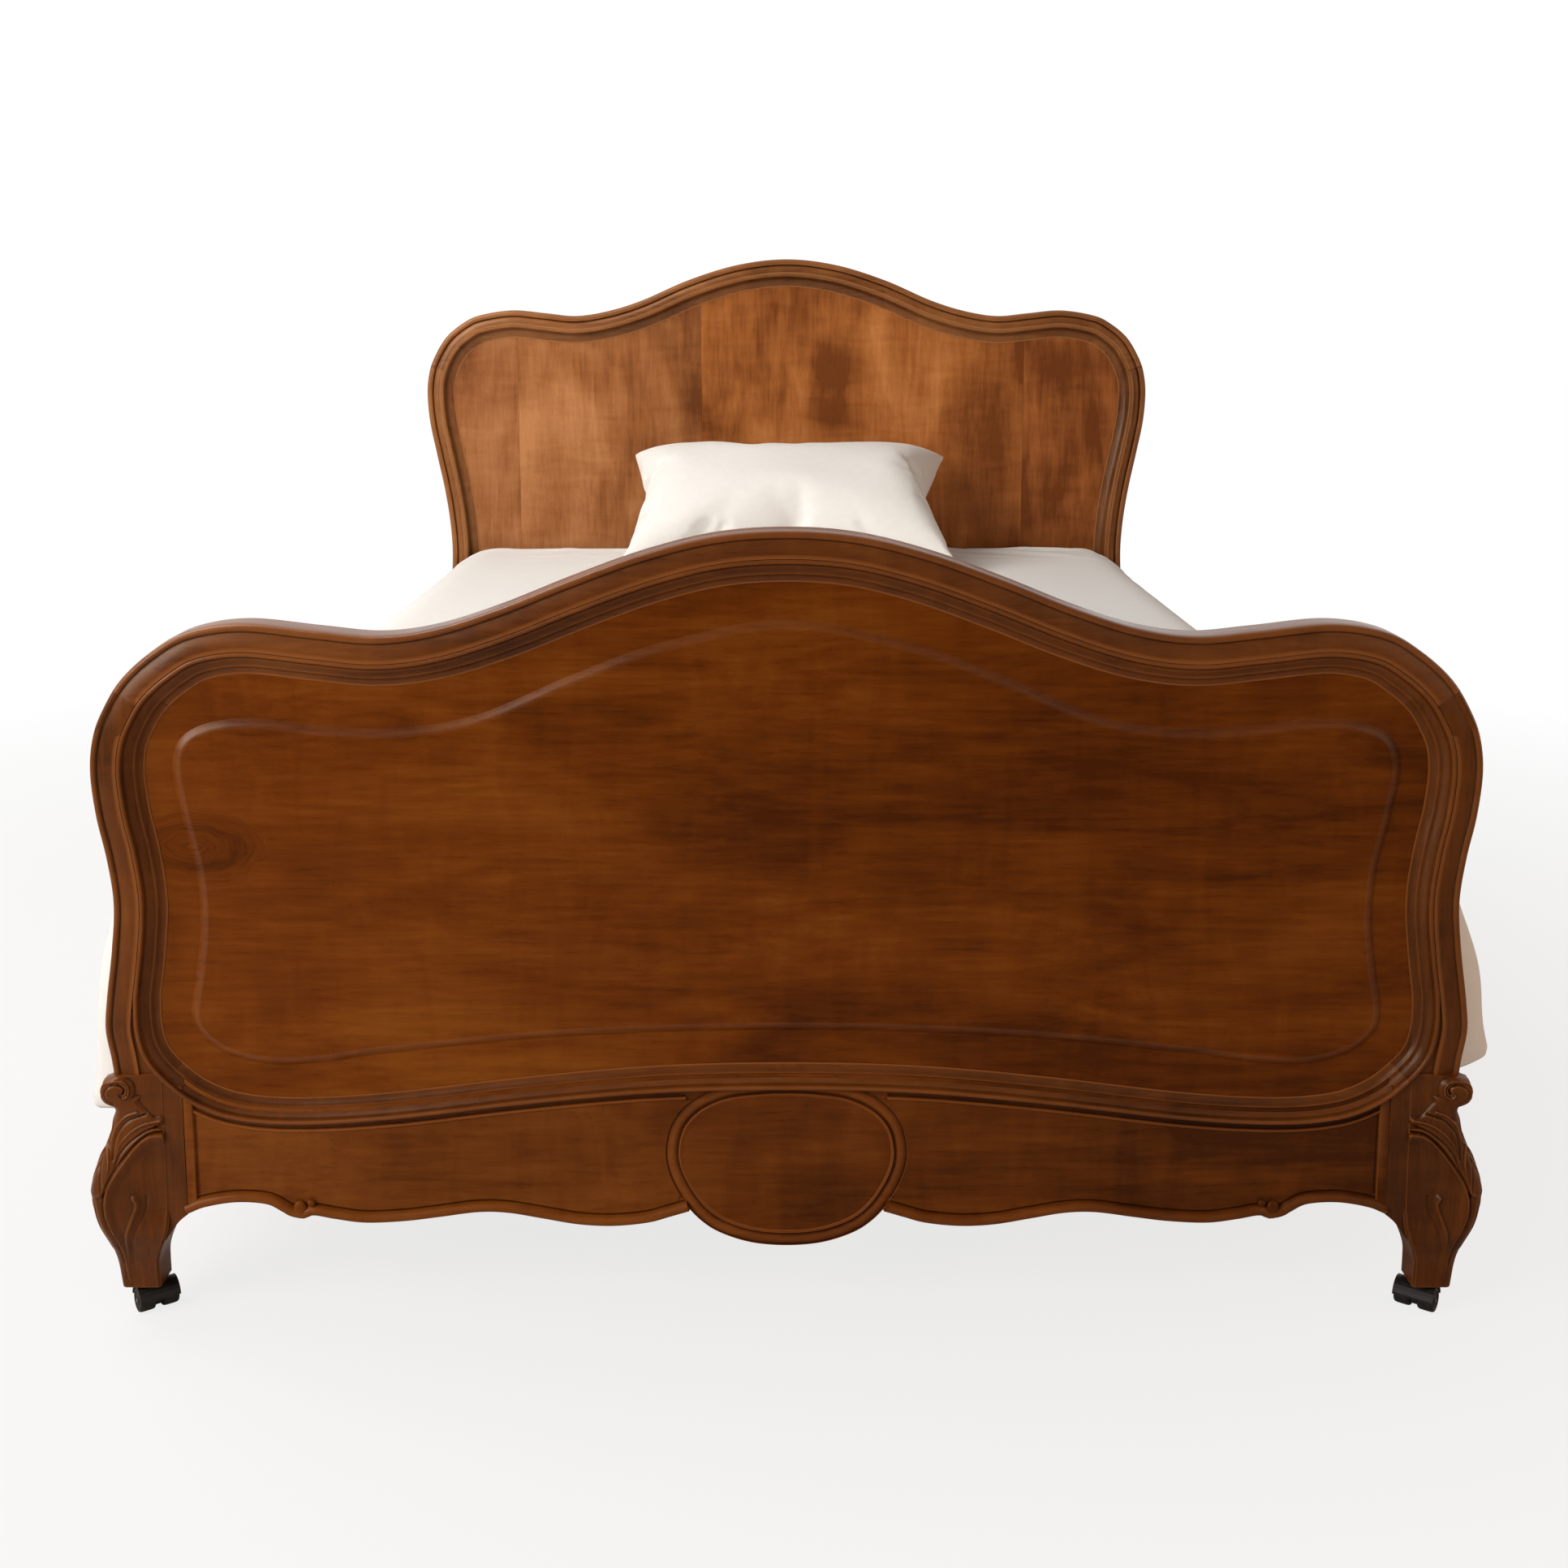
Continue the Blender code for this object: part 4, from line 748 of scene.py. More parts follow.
# The panel darkens towards the right: a painted fall of the light from the left.
PANEL_WALNUT, EDGE_WALNUT = (
    walnut(name, "x", (0.080, 0.0157, 0.0007), (0.158, 0.0345, 0.0016), (0.236, 0.0635, 0.005),
           (0.0, 0.0, 0.0), polish=polish, mix=(0.43, 0.28, 0.19, 0.10),
           knots=[(-0.667, 0.563, 0.006, 0.34)], shades=FIELD_SHADES, painted_falloff=-0.05)
    for name, polish in (("panel_walnut", 0.11), ("field_edge_walnut", 0.36)))
field_line = smooth_line(whole(FIELD)[:-1], FOOT_SPACING, closed=True)
panel = new_wood()
saw_plate(panel, [offset(foot_ring, 0.0178, True)], FOOT_Y + 0.0183, FOOT_Y + 0.035)
rings = []
for inset, back in FIELD_EDGE:
    line = offset(field_line, inset / 1000, True)
    loop = [panel.verts.new((p.x, FOOT_Y + back / 1000, p.y)) for p in line]
    rings.append([panel.edges.new((a, b)) for a, b in zip(loop, loop[1:] + loop[:1])])
edge_verts = {v for edges in rings for e in edges for v in e.verts}
for near, far in zip(rings, rings[1:]):
    bmesh.ops.bridge_loops(panel, edges=near + far)
bmesh.ops.recalc_face_normals(panel, faces=panel.faces)
mark_hollows(panel, edge_verts)
for face in panel.faces:
    face.material_index = int(all(v in edge_verts for v in face.verts))
bmesh.ops.edgeloop_fill(panel, edges=rings[-1])
foot_panel = finished(panel, "foot_panel_fielded", PANEL_WALNUT)
foot_panel.data.materials.append(EDGE_WALNUT)
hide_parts("foot_panel")
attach(foot_panel, "bed")


# Foot lower rail: a deep walnut rail with a scalloped apron, glued between the posts. Its face is sunk behind
# a rounded lip along the lower edge and a fine bead along the top, and an oval cartouche with its own band
# hangs below the middle.

APRON_WAVE = [(0.6897, 0.128), (0.67, 0.136), (0.635, 0.142), (0.60, 0.140), (0.582, 0.131), (0.572, 0.125),
              (0.556, 0.122), (0.545, 0.126), (0.52, 0.1215), (0.485, 0.117), (0.44, 0.119), (0.40, 0.124),
              (0.355, 0.130), (0.32, 0.129), (0.28, 0.122), (0.24, 0.115), (0.20, 0.113), (0.16, 0.117),
              (0.135, 0.124), (0.112, 0.131)]
OVAL = [(0, 0.088), (-0.04, 0.0915), (-0.075, 0.103), (-0.098, 0.118), (-0.117, 0.140), (-0.134, 0.173),
        (-0.139, 0.204), (-0.131, 0.238), (-0.109, 0.264), (-0.075, 0.281), (-0.035, 0.2875), (0, 0.289)]
LIP = [(0, 16), (0, 6.5), (0.8, 4.4), (2.6, 2.8), (5, 2.2), (7.5, 2.6), (9.6, 4.0), (11.2, 6.2),
       (12.2, 8.6), (13, 9.6), (14.5, 9.4), (16, 9.2), (16, 16)]
OVAL_BAND = [(0, 20), (0, 8.4), (0.9, 9.7), (1.8, 9.6), (4, 8.2), (7.5, 7.2), (11, 8.0), (13, 9.5),
             (14, 9.7), (14.8, 9.4), (15.4, 7.8), (16.2, 6.9), (17.4, 7.2), (19, 8.2), (19, 20)]
TOP_BEAD = [(-0.3, 16), (-0.3, 7.0), (-2, 8.4), (-5, 9.6), (-7.2, 9.4), (-8.4, 7.4), (-10, 6.6),
            (-11.6, 7.4), (-12.6, 9.2), (-13, 16)]
END_CHAMFER = [(0, 20), (0, 5.8), (0.8, 5.6), (9.4, 5.6), (10.4, 6.2), (11.4, 8.8), (12.5, 20)]
APRON_DROPS = [(20, 14, (0.0078, 0.0036, 0.0098), (0.5605, FOOT_Y + 0.0058, 0.1345)),
               (16, 12, (0.0046, 0.0030, 0.0042), (0.5475, FOOT_Y + 0.0052, 0.1415))]
RAIL_END = 0.6897
APRON_FACE = 0.0086
# The apron darkens towards the right, a painted fall of the light from the left, and a darker cloud lies over
# the oval.
APRON_WALNUT = walnut("apron_walnut", "x", (0.063, 0.0135, 0.0007), (0.139, 0.0322, 0.0021),
                      (0.214, 0.0585, 0.007), (3.1, 0.5, 1.3), shades=[(0.02, 0.19, 0.13, 0.09, 0.09)],
                      painted_falloff=-0.15)
wave = smooth_line(APRON_WAVE, 0.005)
oval = smooth_line(OVAL + [(-x, z) for x, z in reversed(OVAL[1:-1])], 0.005, closed=True)
apron = new_wood()
run_moulding(apron, wave, LIP, FOOT_Y)
run_moulding(apron, [p for p in ring_low_right if 0.112 < p.x < RAIL_END], TOP_BEAD, FOOT_Y)
run_moulding(apron, [Vector((RAIL_END, z)) for z in (0.268, 0.20, 0.140)], END_CHAMFER, FOOT_Y)
face_top = [p for p in offset(ring_low_right, -0.0123) if 0.108 < p.x < 0.679]
face_side = [p for p in oval if p.x > 0.08 and 0.148 < p.y < 0.268]
face_low = [p for p in offset(wave, 0.0145) if 0.124 < p.x < 0.679]
face_edge = face_top + sorted(face_side, key=lambda p: -p.y) + face_low[::-1]
saw_plate(apron, [face_edge], FOOT_Y + APRON_FACE, FOOT_Y + 0.012)
for around, upward, size, place in APRON_DROPS:
    drop = bmesh.ops.create_uvsphere(apron, u_segments=around, v_segments=upward, radius=1)["verts"]
    bmesh.ops.scale(apron, vec=size, verts=drop)
    bmesh.ops.translate(apron, vec=place, verts=drop)
other = left_hand(apron)
spare = bpy.data.meshes.new("spare")
other.to_mesh(spare)
other.free()
apron.from_mesh(spare)
bpy.data.meshes.remove(spare)
run_moulding(apron, oval, OVAL_BAND, FOOT_Y, closed=True)
saw_plate(apron, [offset(oval, 0.0187, True)], FOOT_Y + 0.0084, FOOT_Y + 0.02)
back_top = [p for p in offset(ring_low, 0.0165) if abs(p.x) <= RAIL_END]
oval_low = [p for p in offset(oval, 0.0006, True) if p.y < 0.128]
back_low = offset(wave, 0.0006)
back_edge = back_top + [Vector((-p.x, p.y)) for p in back_low]
back_edge += sorted(oval_low, key=lambda p: p.x) + back_low[::-1]
saw_plate(apron, [back_edge], FOOT_Y + 0.0098, FOOT_Y + 0.052)
foot_lower = finished(apron, "foot_lower_rail_scalloped", APRON_WALNUT)
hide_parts("foot_lower_rail")
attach(foot_lower, "bed")


# Headboard posts and crest rail: of walnut, sawn and joined as on the footboard, but taller, with plain
# cabriole legs and a broader rounded moulding beside a narrow outer fillet.

HEAD_Y = 0.9755
HEAD_CREST = [(0, 1.268), (0.105, 1.256), (0.21, 1.224), (0.31, 1.181), (0.385, 1.158), (0.453, 1.148),
              (0.52, 1.154), (0.59, 1.160), (0.66, 1.149), (0.696, 1.132), (0.732, 1.102), (0.758, 1.060),
              (0.770, 1.026), (0.775, 0.982), (0.771, 0.921), (0.758, 0.851), (0.744, 0.780),
              (0.734, 0.710), (0.730, 0.639), (0.735, 0.560), (0.747, 0.480), (0.761, 0.400),
              (0.765, 0.340), (0.764, 0.310), (0.763, 0.285)]
HEAD_BAND = [(0, 14), (0.5, 8), (2, 4.6), (5, 2.8), (8.5, 2.6), (11, 3.6), (12.5, 6.2), (13.3, 7.0),
             (14.2, 6.4), (15.5, 4.4), (18.5, 2.2), (22.5, 1.0), (26.5, 0.6), (30.7, 0.8), (30.7, 18.3),
             (48, 18.3), (48, 35.6), (60, 35.6), (60, 50), (58, 52), (6, 52), (1.5, 50), (0, 46)]
HEAD_LEG_OUT = [(0.762, 0.312), (0.763, 0.272), (0.771, 0.235), (0.782, 0.206), (0.789, 0.186),
                (0.794, 0.160), (0.794, 0.142), (0.791, 0.122), (0.785, 0.101), (0.778, 0.076),
                (0.7745, 0.048), (0.7725, 0.0355), (0.7722, 0.030)]
HEAD_LEG_FRONT = [(0.001, 0.312), (0.001, 0.275), (-0.001, 0.245), (-0.006, 0.218), (-0.015, 0.180),
                  (-0.018, 0.150), (-0.013, 0.118), (0.000, 0.086), (0.0062, 0.060), (0.0082, 0.0355),
                  (0.0083, 0.030)]
HEAD_JOINT = 1.0425
HEAD_SPACING = 0.008
# The head walnut is paler and less saturated than the foot's: partly paler wood, and partly painted light for
# the stronger light and sheen on the head end.
HEAD_TONES = [(0.07, 0.020, 0.004), (0.17, 0.056, 0.014), (0.27, 0.105, 0.030)]
HEAD_WALNUT = walnut("head_walnut", "z", *HEAD_TONES, (0.9, 0.1, 0.2), polish=0.34)
HEAD_CREST_WALNUT = walnut("head_crest_walnut", "x", *HEAD_TONES, (0.4, 0.9, 0.6), polish=0.34)
head_line = smooth_line(whole(HEAD_CREST), HEAD_SPACING)
right_post = new_wood()
carve_leg(right_post, HEAD_Y, HEAD_LEG_OUT, LEG_IN, HEAD_LEG_FRONT, ([], [], []), 60)
run_moulding(right_post, below(head_line, HEAD_JOINT), HEAD_BAND, HEAD_Y)
shoulder = [(0.665, 0.157), (0.676, 0.145)] + SHOULDER
shoulder += [(0.745, 0.20), (0.745, 0.45), (0.730, 0.52), (0.665, 0.52)]
saw_plate(right_post, [[Vector(p) for p in shoulder]], HEAD_Y + 0.004, HEAD_Y + 0.051)
left_post = left_hand(right_post)
for work, side in ((right_post, "right"), (left_post, "left")):
    post = finished(work, f"head_post_{side}_moulded", HEAD_WALNUT)
    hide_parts(f"head_post_{side}")
    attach(post, "bed")
crest = new_wood()
run_moulding(crest, between_ends(head_line, HEAD_JOINT + JOINT_GAP), HEAD_BAND, HEAD_Y)
head_crest = finished(crest, "head_crest_rail_moulded", HEAD_CREST_WALNUT)
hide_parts("head_crest_rail")
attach(head_crest, "bed")


# Head panel: four walnut boards glued side by side with upright grain, and the closed run of moulding that
# holds them in the frame. The boards differ a little in tone, and dark clouds run across their joints. One
# darker patch, just right of the pillow, is a painted shadow of the pillow.

HEAD_RING_LOW = [(0.702, 0.545), (0.690, 0.520), (0.663, 0.500), (0.615, 0.491), (0.40, 0.488), (0, 0.488)]
HEAD_RING = [(0.3, 17.7), (0.3, 0.9), (2, 0.7), (4, 1.0), (5.4, 2.2), (6.4, 4.6), (7.6, 8.0), (9.4, 11.0),
             (12, 13.0), (15, 14.3), (18, 15.4), (21, 16.4), (24, 17.2), (27, 17.7)]
BOARD_TONES = [(1.00, 1.10, 1.35), (1.02, 1.12, 1.30), (1.22, 1.24, 1.15), (1.16, 1.14, 1.12)]
# Dark clouds in the boards (x, z, half width, half height, depth). The one at x 0.42, right of the pillow, is
# a painted shadow of the pillow.
BOARD_CLOUDS_AND_PILLOW_SHADOW = [(-0.20, 0.95, 0.035, 0.06, 0.06), (0.085, 0.98, 0.05, 0.12, 0.10),
                (0.13, 1.04, 0.07, 0.06, 0.08), (0.10, 0.93, 0.12, 0.04, 0.05),
                (0.63, 1.05, 0.10, 0.07, 0.06), (-0.63, 1.03, 0.12, 0.10, 0.12),
                (-0.51, 0.78, 0.05, 0.16, 0.06), (0.42, 0.87, 0.10, 0.16, 0.10),
                (-0.70, 0.88, 0.06, 0.25, 0.08)]
# The boards' colours are paler still: partly paler wood, and partly painted light for the stronger light and
# sheen on the head panel.
BOARD_COLOURS = [(0.13, 0.036, 0.009), (0.275, 0.09, 0.024), (0.43, 0.168, 0.056)]
head_ring = panel_opening(head_line, HEAD_RING_LOW, 0.585, HEAD_SPACING)[2]
ring = new_wood()
run_moulding(ring, head_ring, HEAD_RING, HEAD_Y, closed=True)
upright_grain(ring)
head_moulding = finished(ring, "head_panel_moulding_run", HEAD_CREST_WALNUT)
head_moulding.data.materials.append(HEAD_WALNUT)
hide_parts("head_panel_moulding")
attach(head_moulding, "bed")
for number, tone in enumerate(BOARD_TONES, 1):
    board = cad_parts[f"head_panel_board_{number}"]
    colours = [[c * t for c, t in zip(colour, tone)] for colour in BOARD_COLOURS]
    # Each board darkens towards the right: a painted fall of the light from the left.
    finish = walnut(f"head_board_{number}_walnut", "z", *colours, (1.3 * number, 0.0, 0.77 * number),
                    mix=(0.52, 0.24, 0.12, 0.12), shades=BOARD_CLOUDS_AND_PILLOW_SHADOW, painted_falloff=-0.07)
    board.data.materials.clear()
    board.data.materials.append(finish)


# Rails: two walnut side rails, hung between the posts on hooks, and the headboard's plain lower rail, glued
# between its posts. They are planed and their edges eased.

RAIL_WALNUT = walnut("rail_walnut", "y", *CREST_TONES, (0.2, 2.4, 0.3))


def eased(name, finish, width):
    """Gives a CAD piece its finish and softens its edges."""
    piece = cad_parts[name]
    piece.data.materials.clear()
    piece.data.materials.append(finish)
    ease = piece.modifiers.new("eased_edges", "BEVEL")
    ease.width = width
    ease.segments = 2
    ease.limit_method = "ANGLE"
    ease.angle_limit = math.radians(40)


for name in ("side_rail_left", "side_rail_right"):
    eased(name, RAIL_WALNUT, 0.002)
eased("head_lower_rail", HEAD_CREST_WALNUT, 0.001)


# Slatted base: beech cleats glued and screwed to the inner sides of the rails, with ten loose beech slats
# laid across them. All of it is planed and left without a finish.

def beech(name, grain, start):
    """Planed, unfinished beech: pale, with short fine flecks along the grain."""
    made, tree, shader = new_finish(name)
    place = node(tree, "TexCoord").outputs["Object"]
    along = node(tree, "Mapping", {"Vector": place, "Location": start, "Rotation": GRAIN[grain]}).outputs[0]
    bands = figure(tree, along, 1.5, 22.0, 3.0, roughness=0.5)
    flecks = figure(tree, along, 90.0, 700.0, 2.0, roughness=0.5)
    tone = added(tree, scaled(tree, bands, 0.7), scaled(tree, flecks, 0.3))
    stops = [(0.38, (0.36, 0.20, 0.10)), (0.50, (0.48, 0.29, 0.155)), (0.62, (0.57, 0.37, 0.21))]
    tree.links.new(ramp(tree, tone, stops), shader.inputs["Base Color"])
    relieve(tree, shader, flecks, 0.2, 0.0004)
    shader.inputs["Roughness"].default_value = 0.62
    return made


CLEAT_BEECH = beech("cleat_beech", "y", (0.4, 0.1, 0.2))
for name in ("cleat_left", "cleat_right"):
    eased(name, CLEAT_BEECH, 0.0015)
for number in range(1, 11):
    slat_beech = beech(f"slat_{number:02d}_beech", "x", (0.7 * number, 0.3 * number, 0.0))
    eased(f"slat_{number:02d}", slat_beech, 0.002)


# Rail fittings: iron hook plates on the rail ends and the slotted plates that they drop into, let into the
# posts. The steel sleeves that take the casters' stems are driven into the legs.

def metal(name, colour, tarnish, roughness, metallic):
    """Dull metal with patches of tarnish and fine scratches."""
    made, tree, shader = new_finish(name)
    place = node(tree, "TexCoord").outputs["Object"]
    patches = node(tree, "TexNoise", {"Vector": place, "Scale": 90.0, "Detail": 4.0,
                                      "Roughness": 0.65}).outputs["Fac"]
    scratches = node(tree, "TexNoise", {"Vector": place, "Scale": 900.0, "Detail": 2.0}).outputs["Fac"]
    tint = ramp(tree, patches, [(0.36, tarnish), (0.60, colour)])
    tree.links.new(tint, shader.inputs["Base Color"])
    rough = ranged(tree, patches, 0.35, 0.65, roughness + 0.15, roughness)
    tree.links.new(rough, shader.inputs["Roughness"])
    relieve(tree, shader, scratches, 0.15, 0.0002)
    shader.inputs["Metallic"].default_value = metallic
    return made


OLD_IRON = metal("old_iron", (0.16, 0.15, 0.14), (0.07, 0.035, 0.02), 0.42, 0.85)
BRIGHT_STEEL = metal("bright_steel", (0.58, 0.57, 0.55), (0.38, 0.36, 0.34), 0.26, 1.0)
for end in ("foot", "head"):
    for side in ("left", "right"):
        eased(f"hook_plate_{end}_{side}", OLD_IRON, 0.0004)
        eased(f"post_plate_{end}_{side}", OLD_IRON, 0.0004)
        eased(f"caster_{end}_{side}_socket", BRIGHT_STEEL, 0.0002)


# Casters: black moulded nylon hoods with a steel stem and axle, and two wheels each with a rounded tread. The
# stem turns in the leg's sleeve, and the wheels turn on the axle.

CASTER_TURN = {"foot": math.radians(35), "head": math.radians(-20)}
WHEEL = [(2.3, -9.3), (2.3, 8.6), (4.2, 9.1), (5.0, 8.5), (6.0, 7.8), (9.6, 7.8), (10.4, 8.5), (11.6, 9.4),
         (13.0, 9.0), (14.0, 7.6), (14.3, 5.0), (14.36, 0.0), (14.3, -5.0), (14.0, -7.6), (13.0, -9.0),
         (11.6, -9.4)]


def moulded_plastic(name, colour, roughness):
    """Injection-moulded nylon with a fine spark-eroded grain, scuffed a little."""
    made, tree, shader = new_finish(name)
    place = node(tree, "TexCoord").outputs["Object"]
    grain = node(tree, "TexNoise", {"Vector": place, "Scale": 2600.0, "Detail": 1.0}).outputs["Fac"]
    scuffs = node(tree, "TexNoise", {"Vector": place, "Scale": 160.0, "Detail": 5.0,
                                     "Roughness": 0.7}).outputs["Fac"]
    tint = ramp(tree, scuffs, [(0.40, colour), (0.72, tuple(c * 2.2 + 0.006 for c in colour))])
    tree.links.new(tint, shader.inputs["Base Color"])
    rough = ranged(tree, scuffs, 0.4, 0.7, roughness, roughness + 0.18)
    tree.links.new(rough, shader.inputs["Roughness"])
    relieve(tree, shader, grain, 0.12, 0.0002)
    shader.inputs["Specular IOR Level"].default_value = 0.3
    return made


HOOD_NYLON = moulded_plastic("hood_nylon", (0.008, 0.0065, 0.0055), 0.42)
WHEEL_NYLON = moulded_plastic("wheel_nylon", (0.009, 0.0075, 0.0065), 0.5)
for end in ("foot", "head"):
    for side, sign in (("left", -1), ("right", 1)):
        eased(f"caster_{end}_{side}_housing", HOOD_NYLON, 0.0007)
        eased(f"caster_{end}_{side}_axle", BRIGHT_STEEL, 0.0004)
        turn = -sign * CASTER_TURN[end]
        swivel = Vector((sum(c) / 2 for c in zip(*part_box(f"caster_{end}_{side}_socket"))))
        for place in ("inner", "outer"):
            low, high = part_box(f"caster_{end}_{side}_wheel_{place}")
            hub = (Vector(low) + Vector(high)) / 2
            outward = math.cos(turn) * (hub.x - swivel.x) + math.sin(turn) * (hub.y - swivel.y)
            wheel = bmesh.new()
            section = [wheel.verts.new((r / 1000, 0, a / 1000)) for r, a in WHEEL]
            rim = [wheel.edges.new((a, b)) for a, b in zip(section, section[1:] + section[:1])]
            bmesh.ops.spin(wheel, geom=section + rim, cent=(0, 0, 0), axis=(0, 0, 1), angle=2 * math.pi,
                           steps=56, use_merge=True)
            tip = Matrix.Rotation(math.copysign(math.pi / 2, outward), 4, "Y")
            on_axle = Matrix.Translation(hub) @ Matrix.Rotation(turn, 4, "Z") @ tip
            bmesh.ops.transform(wheel, matrix=on_axle, verts=wheel.verts)
            tyre = finished(wheel, f"caster_{end}_{side}_wheel_{place}_moulded", WHEEL_NYLON, 50)
            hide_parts(f"caster_{end}_{side}_wheel_{place}")
            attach(tyre, f"caster_{end}_{side}_wheel_{place}")


# Mattress: sprung and padded, in cream ticking, with rounded corners and edges. It lies loose on the slats,
# between the side rails.

MATTRESS_LOW = (-0.6998, -0.9408, 0.4229)
MATTRESS_HIGH = (0.6998, 0.9588, 0.6372)
CORNER_RADIUS = 0.045
TOP_RADIUS = 0.056
BOTTOM_RADIUS = 0.02


def cotton(name, colour, weave, creases):
    """Plain-woven cotton: threads crossing at the weave's spacing, soft creases, and a slight bloom of loose
    fibre."""
    made, tree, shader = new_finish(name)
    place = node(tree, "TexCoord").outputs["UV"]
    threads = []
    for direction in ("X", "Y"):
        threads.append(node(tree, "TexWave", {"Vector": place, "Scale": 1 / weave / 3.1416, "Distortion": 0.6,
                                              "Detail": 1.0, "Detail Scale": 3.0},
                            bands_direction=direction).outputs["Fac"])
    crossed = scaled(tree, threads[0], threads[1])
    slubs = node(tree, "TexNoise", {"Vector": place, "Scale": 55.0, "Detail": 4.0,
                                    "Roughness": 0.7}).outputs["Fac"]
    folds = node(tree, "TexNoise", {"Vector": place, "Scale": 9.0, "Detail": 3.0, "Roughness": 0.5,
                                    "Distortion": 1.2}, noise_type="RIDGED_MULTIFRACTAL").outputs["Fac"]
    tone = added(tree, scaled(tree, slubs, 0.7), scaled(tree, crossed, 0.3))
    tint = ramp(tree, tone, [(0.25, tuple(c * 0.93 for c in colour)), (0.65, colour)])
    tree.links.new(tint, shader.inputs["Base Color"])
    cloth_grain = node(tree, "Bump", {"Strength": 0.15, "Distance": 0.0004, "Height": crossed})
    creased = node(tree, "Bump", {"Strength": creases, "Distance": 0.004, "Height": folds,
                                  "Normal": cloth_grain.outputs["Normal"]})
    tree.links.new(creased.outputs["Normal"], shader.inputs["Normal"])
    shader.inputs["Roughness"].default_value = 0.82
    shader.inputs["Specular IOR Level"].default_value = 0.25
    shader.inputs["Sheen Weight"].default_value = 0.12
    shader.inputs["Sheen Roughness"].default_value = 0.45
    return made


TICKING = cotton("ticking", (0.74, 0.70, 0.62), 0.0011, 0.05)
pad = bmesh.new()
bmesh.ops.create_cube(pad, size=1)
for vert in pad.verts:
    vert.co = [high if c > 0 else low for c, low, high in zip(vert.co, MATTRESS_LOW, MATTRESS_HIGH)]
corners = [e for e in pad.edges if abs(e.verts[0].co.z - e.verts[1].co.z) > 0.1]
bmesh.ops.bevel(pad, geom=corners, offset=CORNER_RADIUS, affect="EDGES", segments=6, profile=0.5, material=-1)
rim = [e for e in pad.edges if e.verts[0].co.z > 0.6 and e.verts[1].co.z > 0.6]
bmesh.ops.bevel(pad, geom=rim, offset=TOP_RADIUS, affect="EDGES", segments=7, profile=0.5, material=-1)
rim = [e for e in pad.edges if e.verts[0].co.z < 0.45 and e.verts[1].co.z < 0.45]
bmesh.ops.bevel(pad, geom=rim, offset=BOTTOM_RADIUS, affect="EDGES", segments=4, profile=0.5, material=-1)
pad_uv = pad.loops.layers.uv.new("UVMap")
for face in pad.faces:
    flat = max(range(3), key=lambda k: abs(face.normal[k]))
    for corner in face.loops:
        corner[pad_uv].uv = [c for k, c in enumerate(corner.vert.co) if k != flat]
mattress = finished(pad, "mattress_padded", TICKING, 60)
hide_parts("mattress")
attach(mattress, "bed")


# Duvet: a down duvet in a plain white cotton cover, two layers sewn round the edge. It lies over the whole
# mattress and hangs outside both rails, a little lower on the left.

DUVET_ENDS = (-0.9445, 0.9628)
UNDER = [(0, 0.6379), (0.30, 0.6379), (0.55, 0.6379), (0.64, 0.6379), (0.672, 0.6286), (0.700, 0.610),
         (0.730, 0.5816), (0.755, 0.5226), (0.777, 0.4476), (0.792, 0.3676), (0.800, 0.2876),
         (0.8045, 0.224)]
HEM_LIFT = 0.045
LOFT = 0.012
ACROSS = 104
ALONG = 86
LINE_STEP = 0.004
CROWDED_ENDS = 0.6
BULGE_LEFT = 0.032
BULGE_RIGHT = 0.040
BULGE_PLACE = 0.065
BULGE_RUN = 0.15
TURNED_CORNER = 0.045
LEFT_DROOP = 0.04
DROP_TOP = 0.62
DROP_LENGTH = 0.40
BELLY_FULL = 0.6
BELLY_TAPER = 0.4
UNEVENNESS = 0.004
WHITE = (0.80, 0.787, 0.770)


def laid_out(work, name):
    """Makes a layer of cloth, or a form for it to lie on, from a bmesh."""
    mesh = bpy.data.meshes.new(name)
    work.to_mesh(mesh)
    work.free()
    layer = bpy.data.objects.new(name, mesh)
    scene.collection.objects.link(layer)
    return layer


def settle(layer, frames, **cloth_settings):
    """Lets cloth settle and hands back its mesh: the layer is simulated, read and dropped."""
    cloth = layer.modifiers.new("cloth", "CLOTH")
    settings = cloth.settings
    settings.quality = 6
    settings.mass = 0.25
    settings.tension_stiffness = 12
    settings.compression_stiffness = 8
    settings.shear_stiffness = 3
    settings.bending_stiffness = 0.4
    settings.air_damping = 3
    for name, value in cloth_settings.items():
        if name == "gravity":
            settings.effector_weights.gravity = value
        else:
            setattr(settings, name, value)
    cloth.collision_settings.use_collision = True
    cloth.collision_settings.distance_min = 0.003
    cloth.collision_settings.use_self_collision = False
    cloth.point_cache.frame_start = 1
    cloth.point_cache.frame_end = frames
    for frame_number in range(1, frames + 1):
        scene.frame_set(frame_number)
    seen = layer.evaluated_get(bpy.context.evaluated_depsgraph_get())
    mesh = bpy.data.meshes.new_from_object(seen)
    bpy.data.objects.remove(layer)
    scene.frame_set(1)
    return mesh


def relaxed(work, verts, times):
    """Evens out the bumps among some vertices."""
    for k in range(times):
        bmesh.ops.smooth_vert(work, verts=verts, factor=0.5, use_axis_x=True, use_axis_y=True,
                              use_axis_z=True)


def softened(piece):
    """Rounds a padded piece off."""
    soften = piece.modifiers.new("soften", "SUBSURF")
    soften.levels = 1
    soften.render_levels = 1


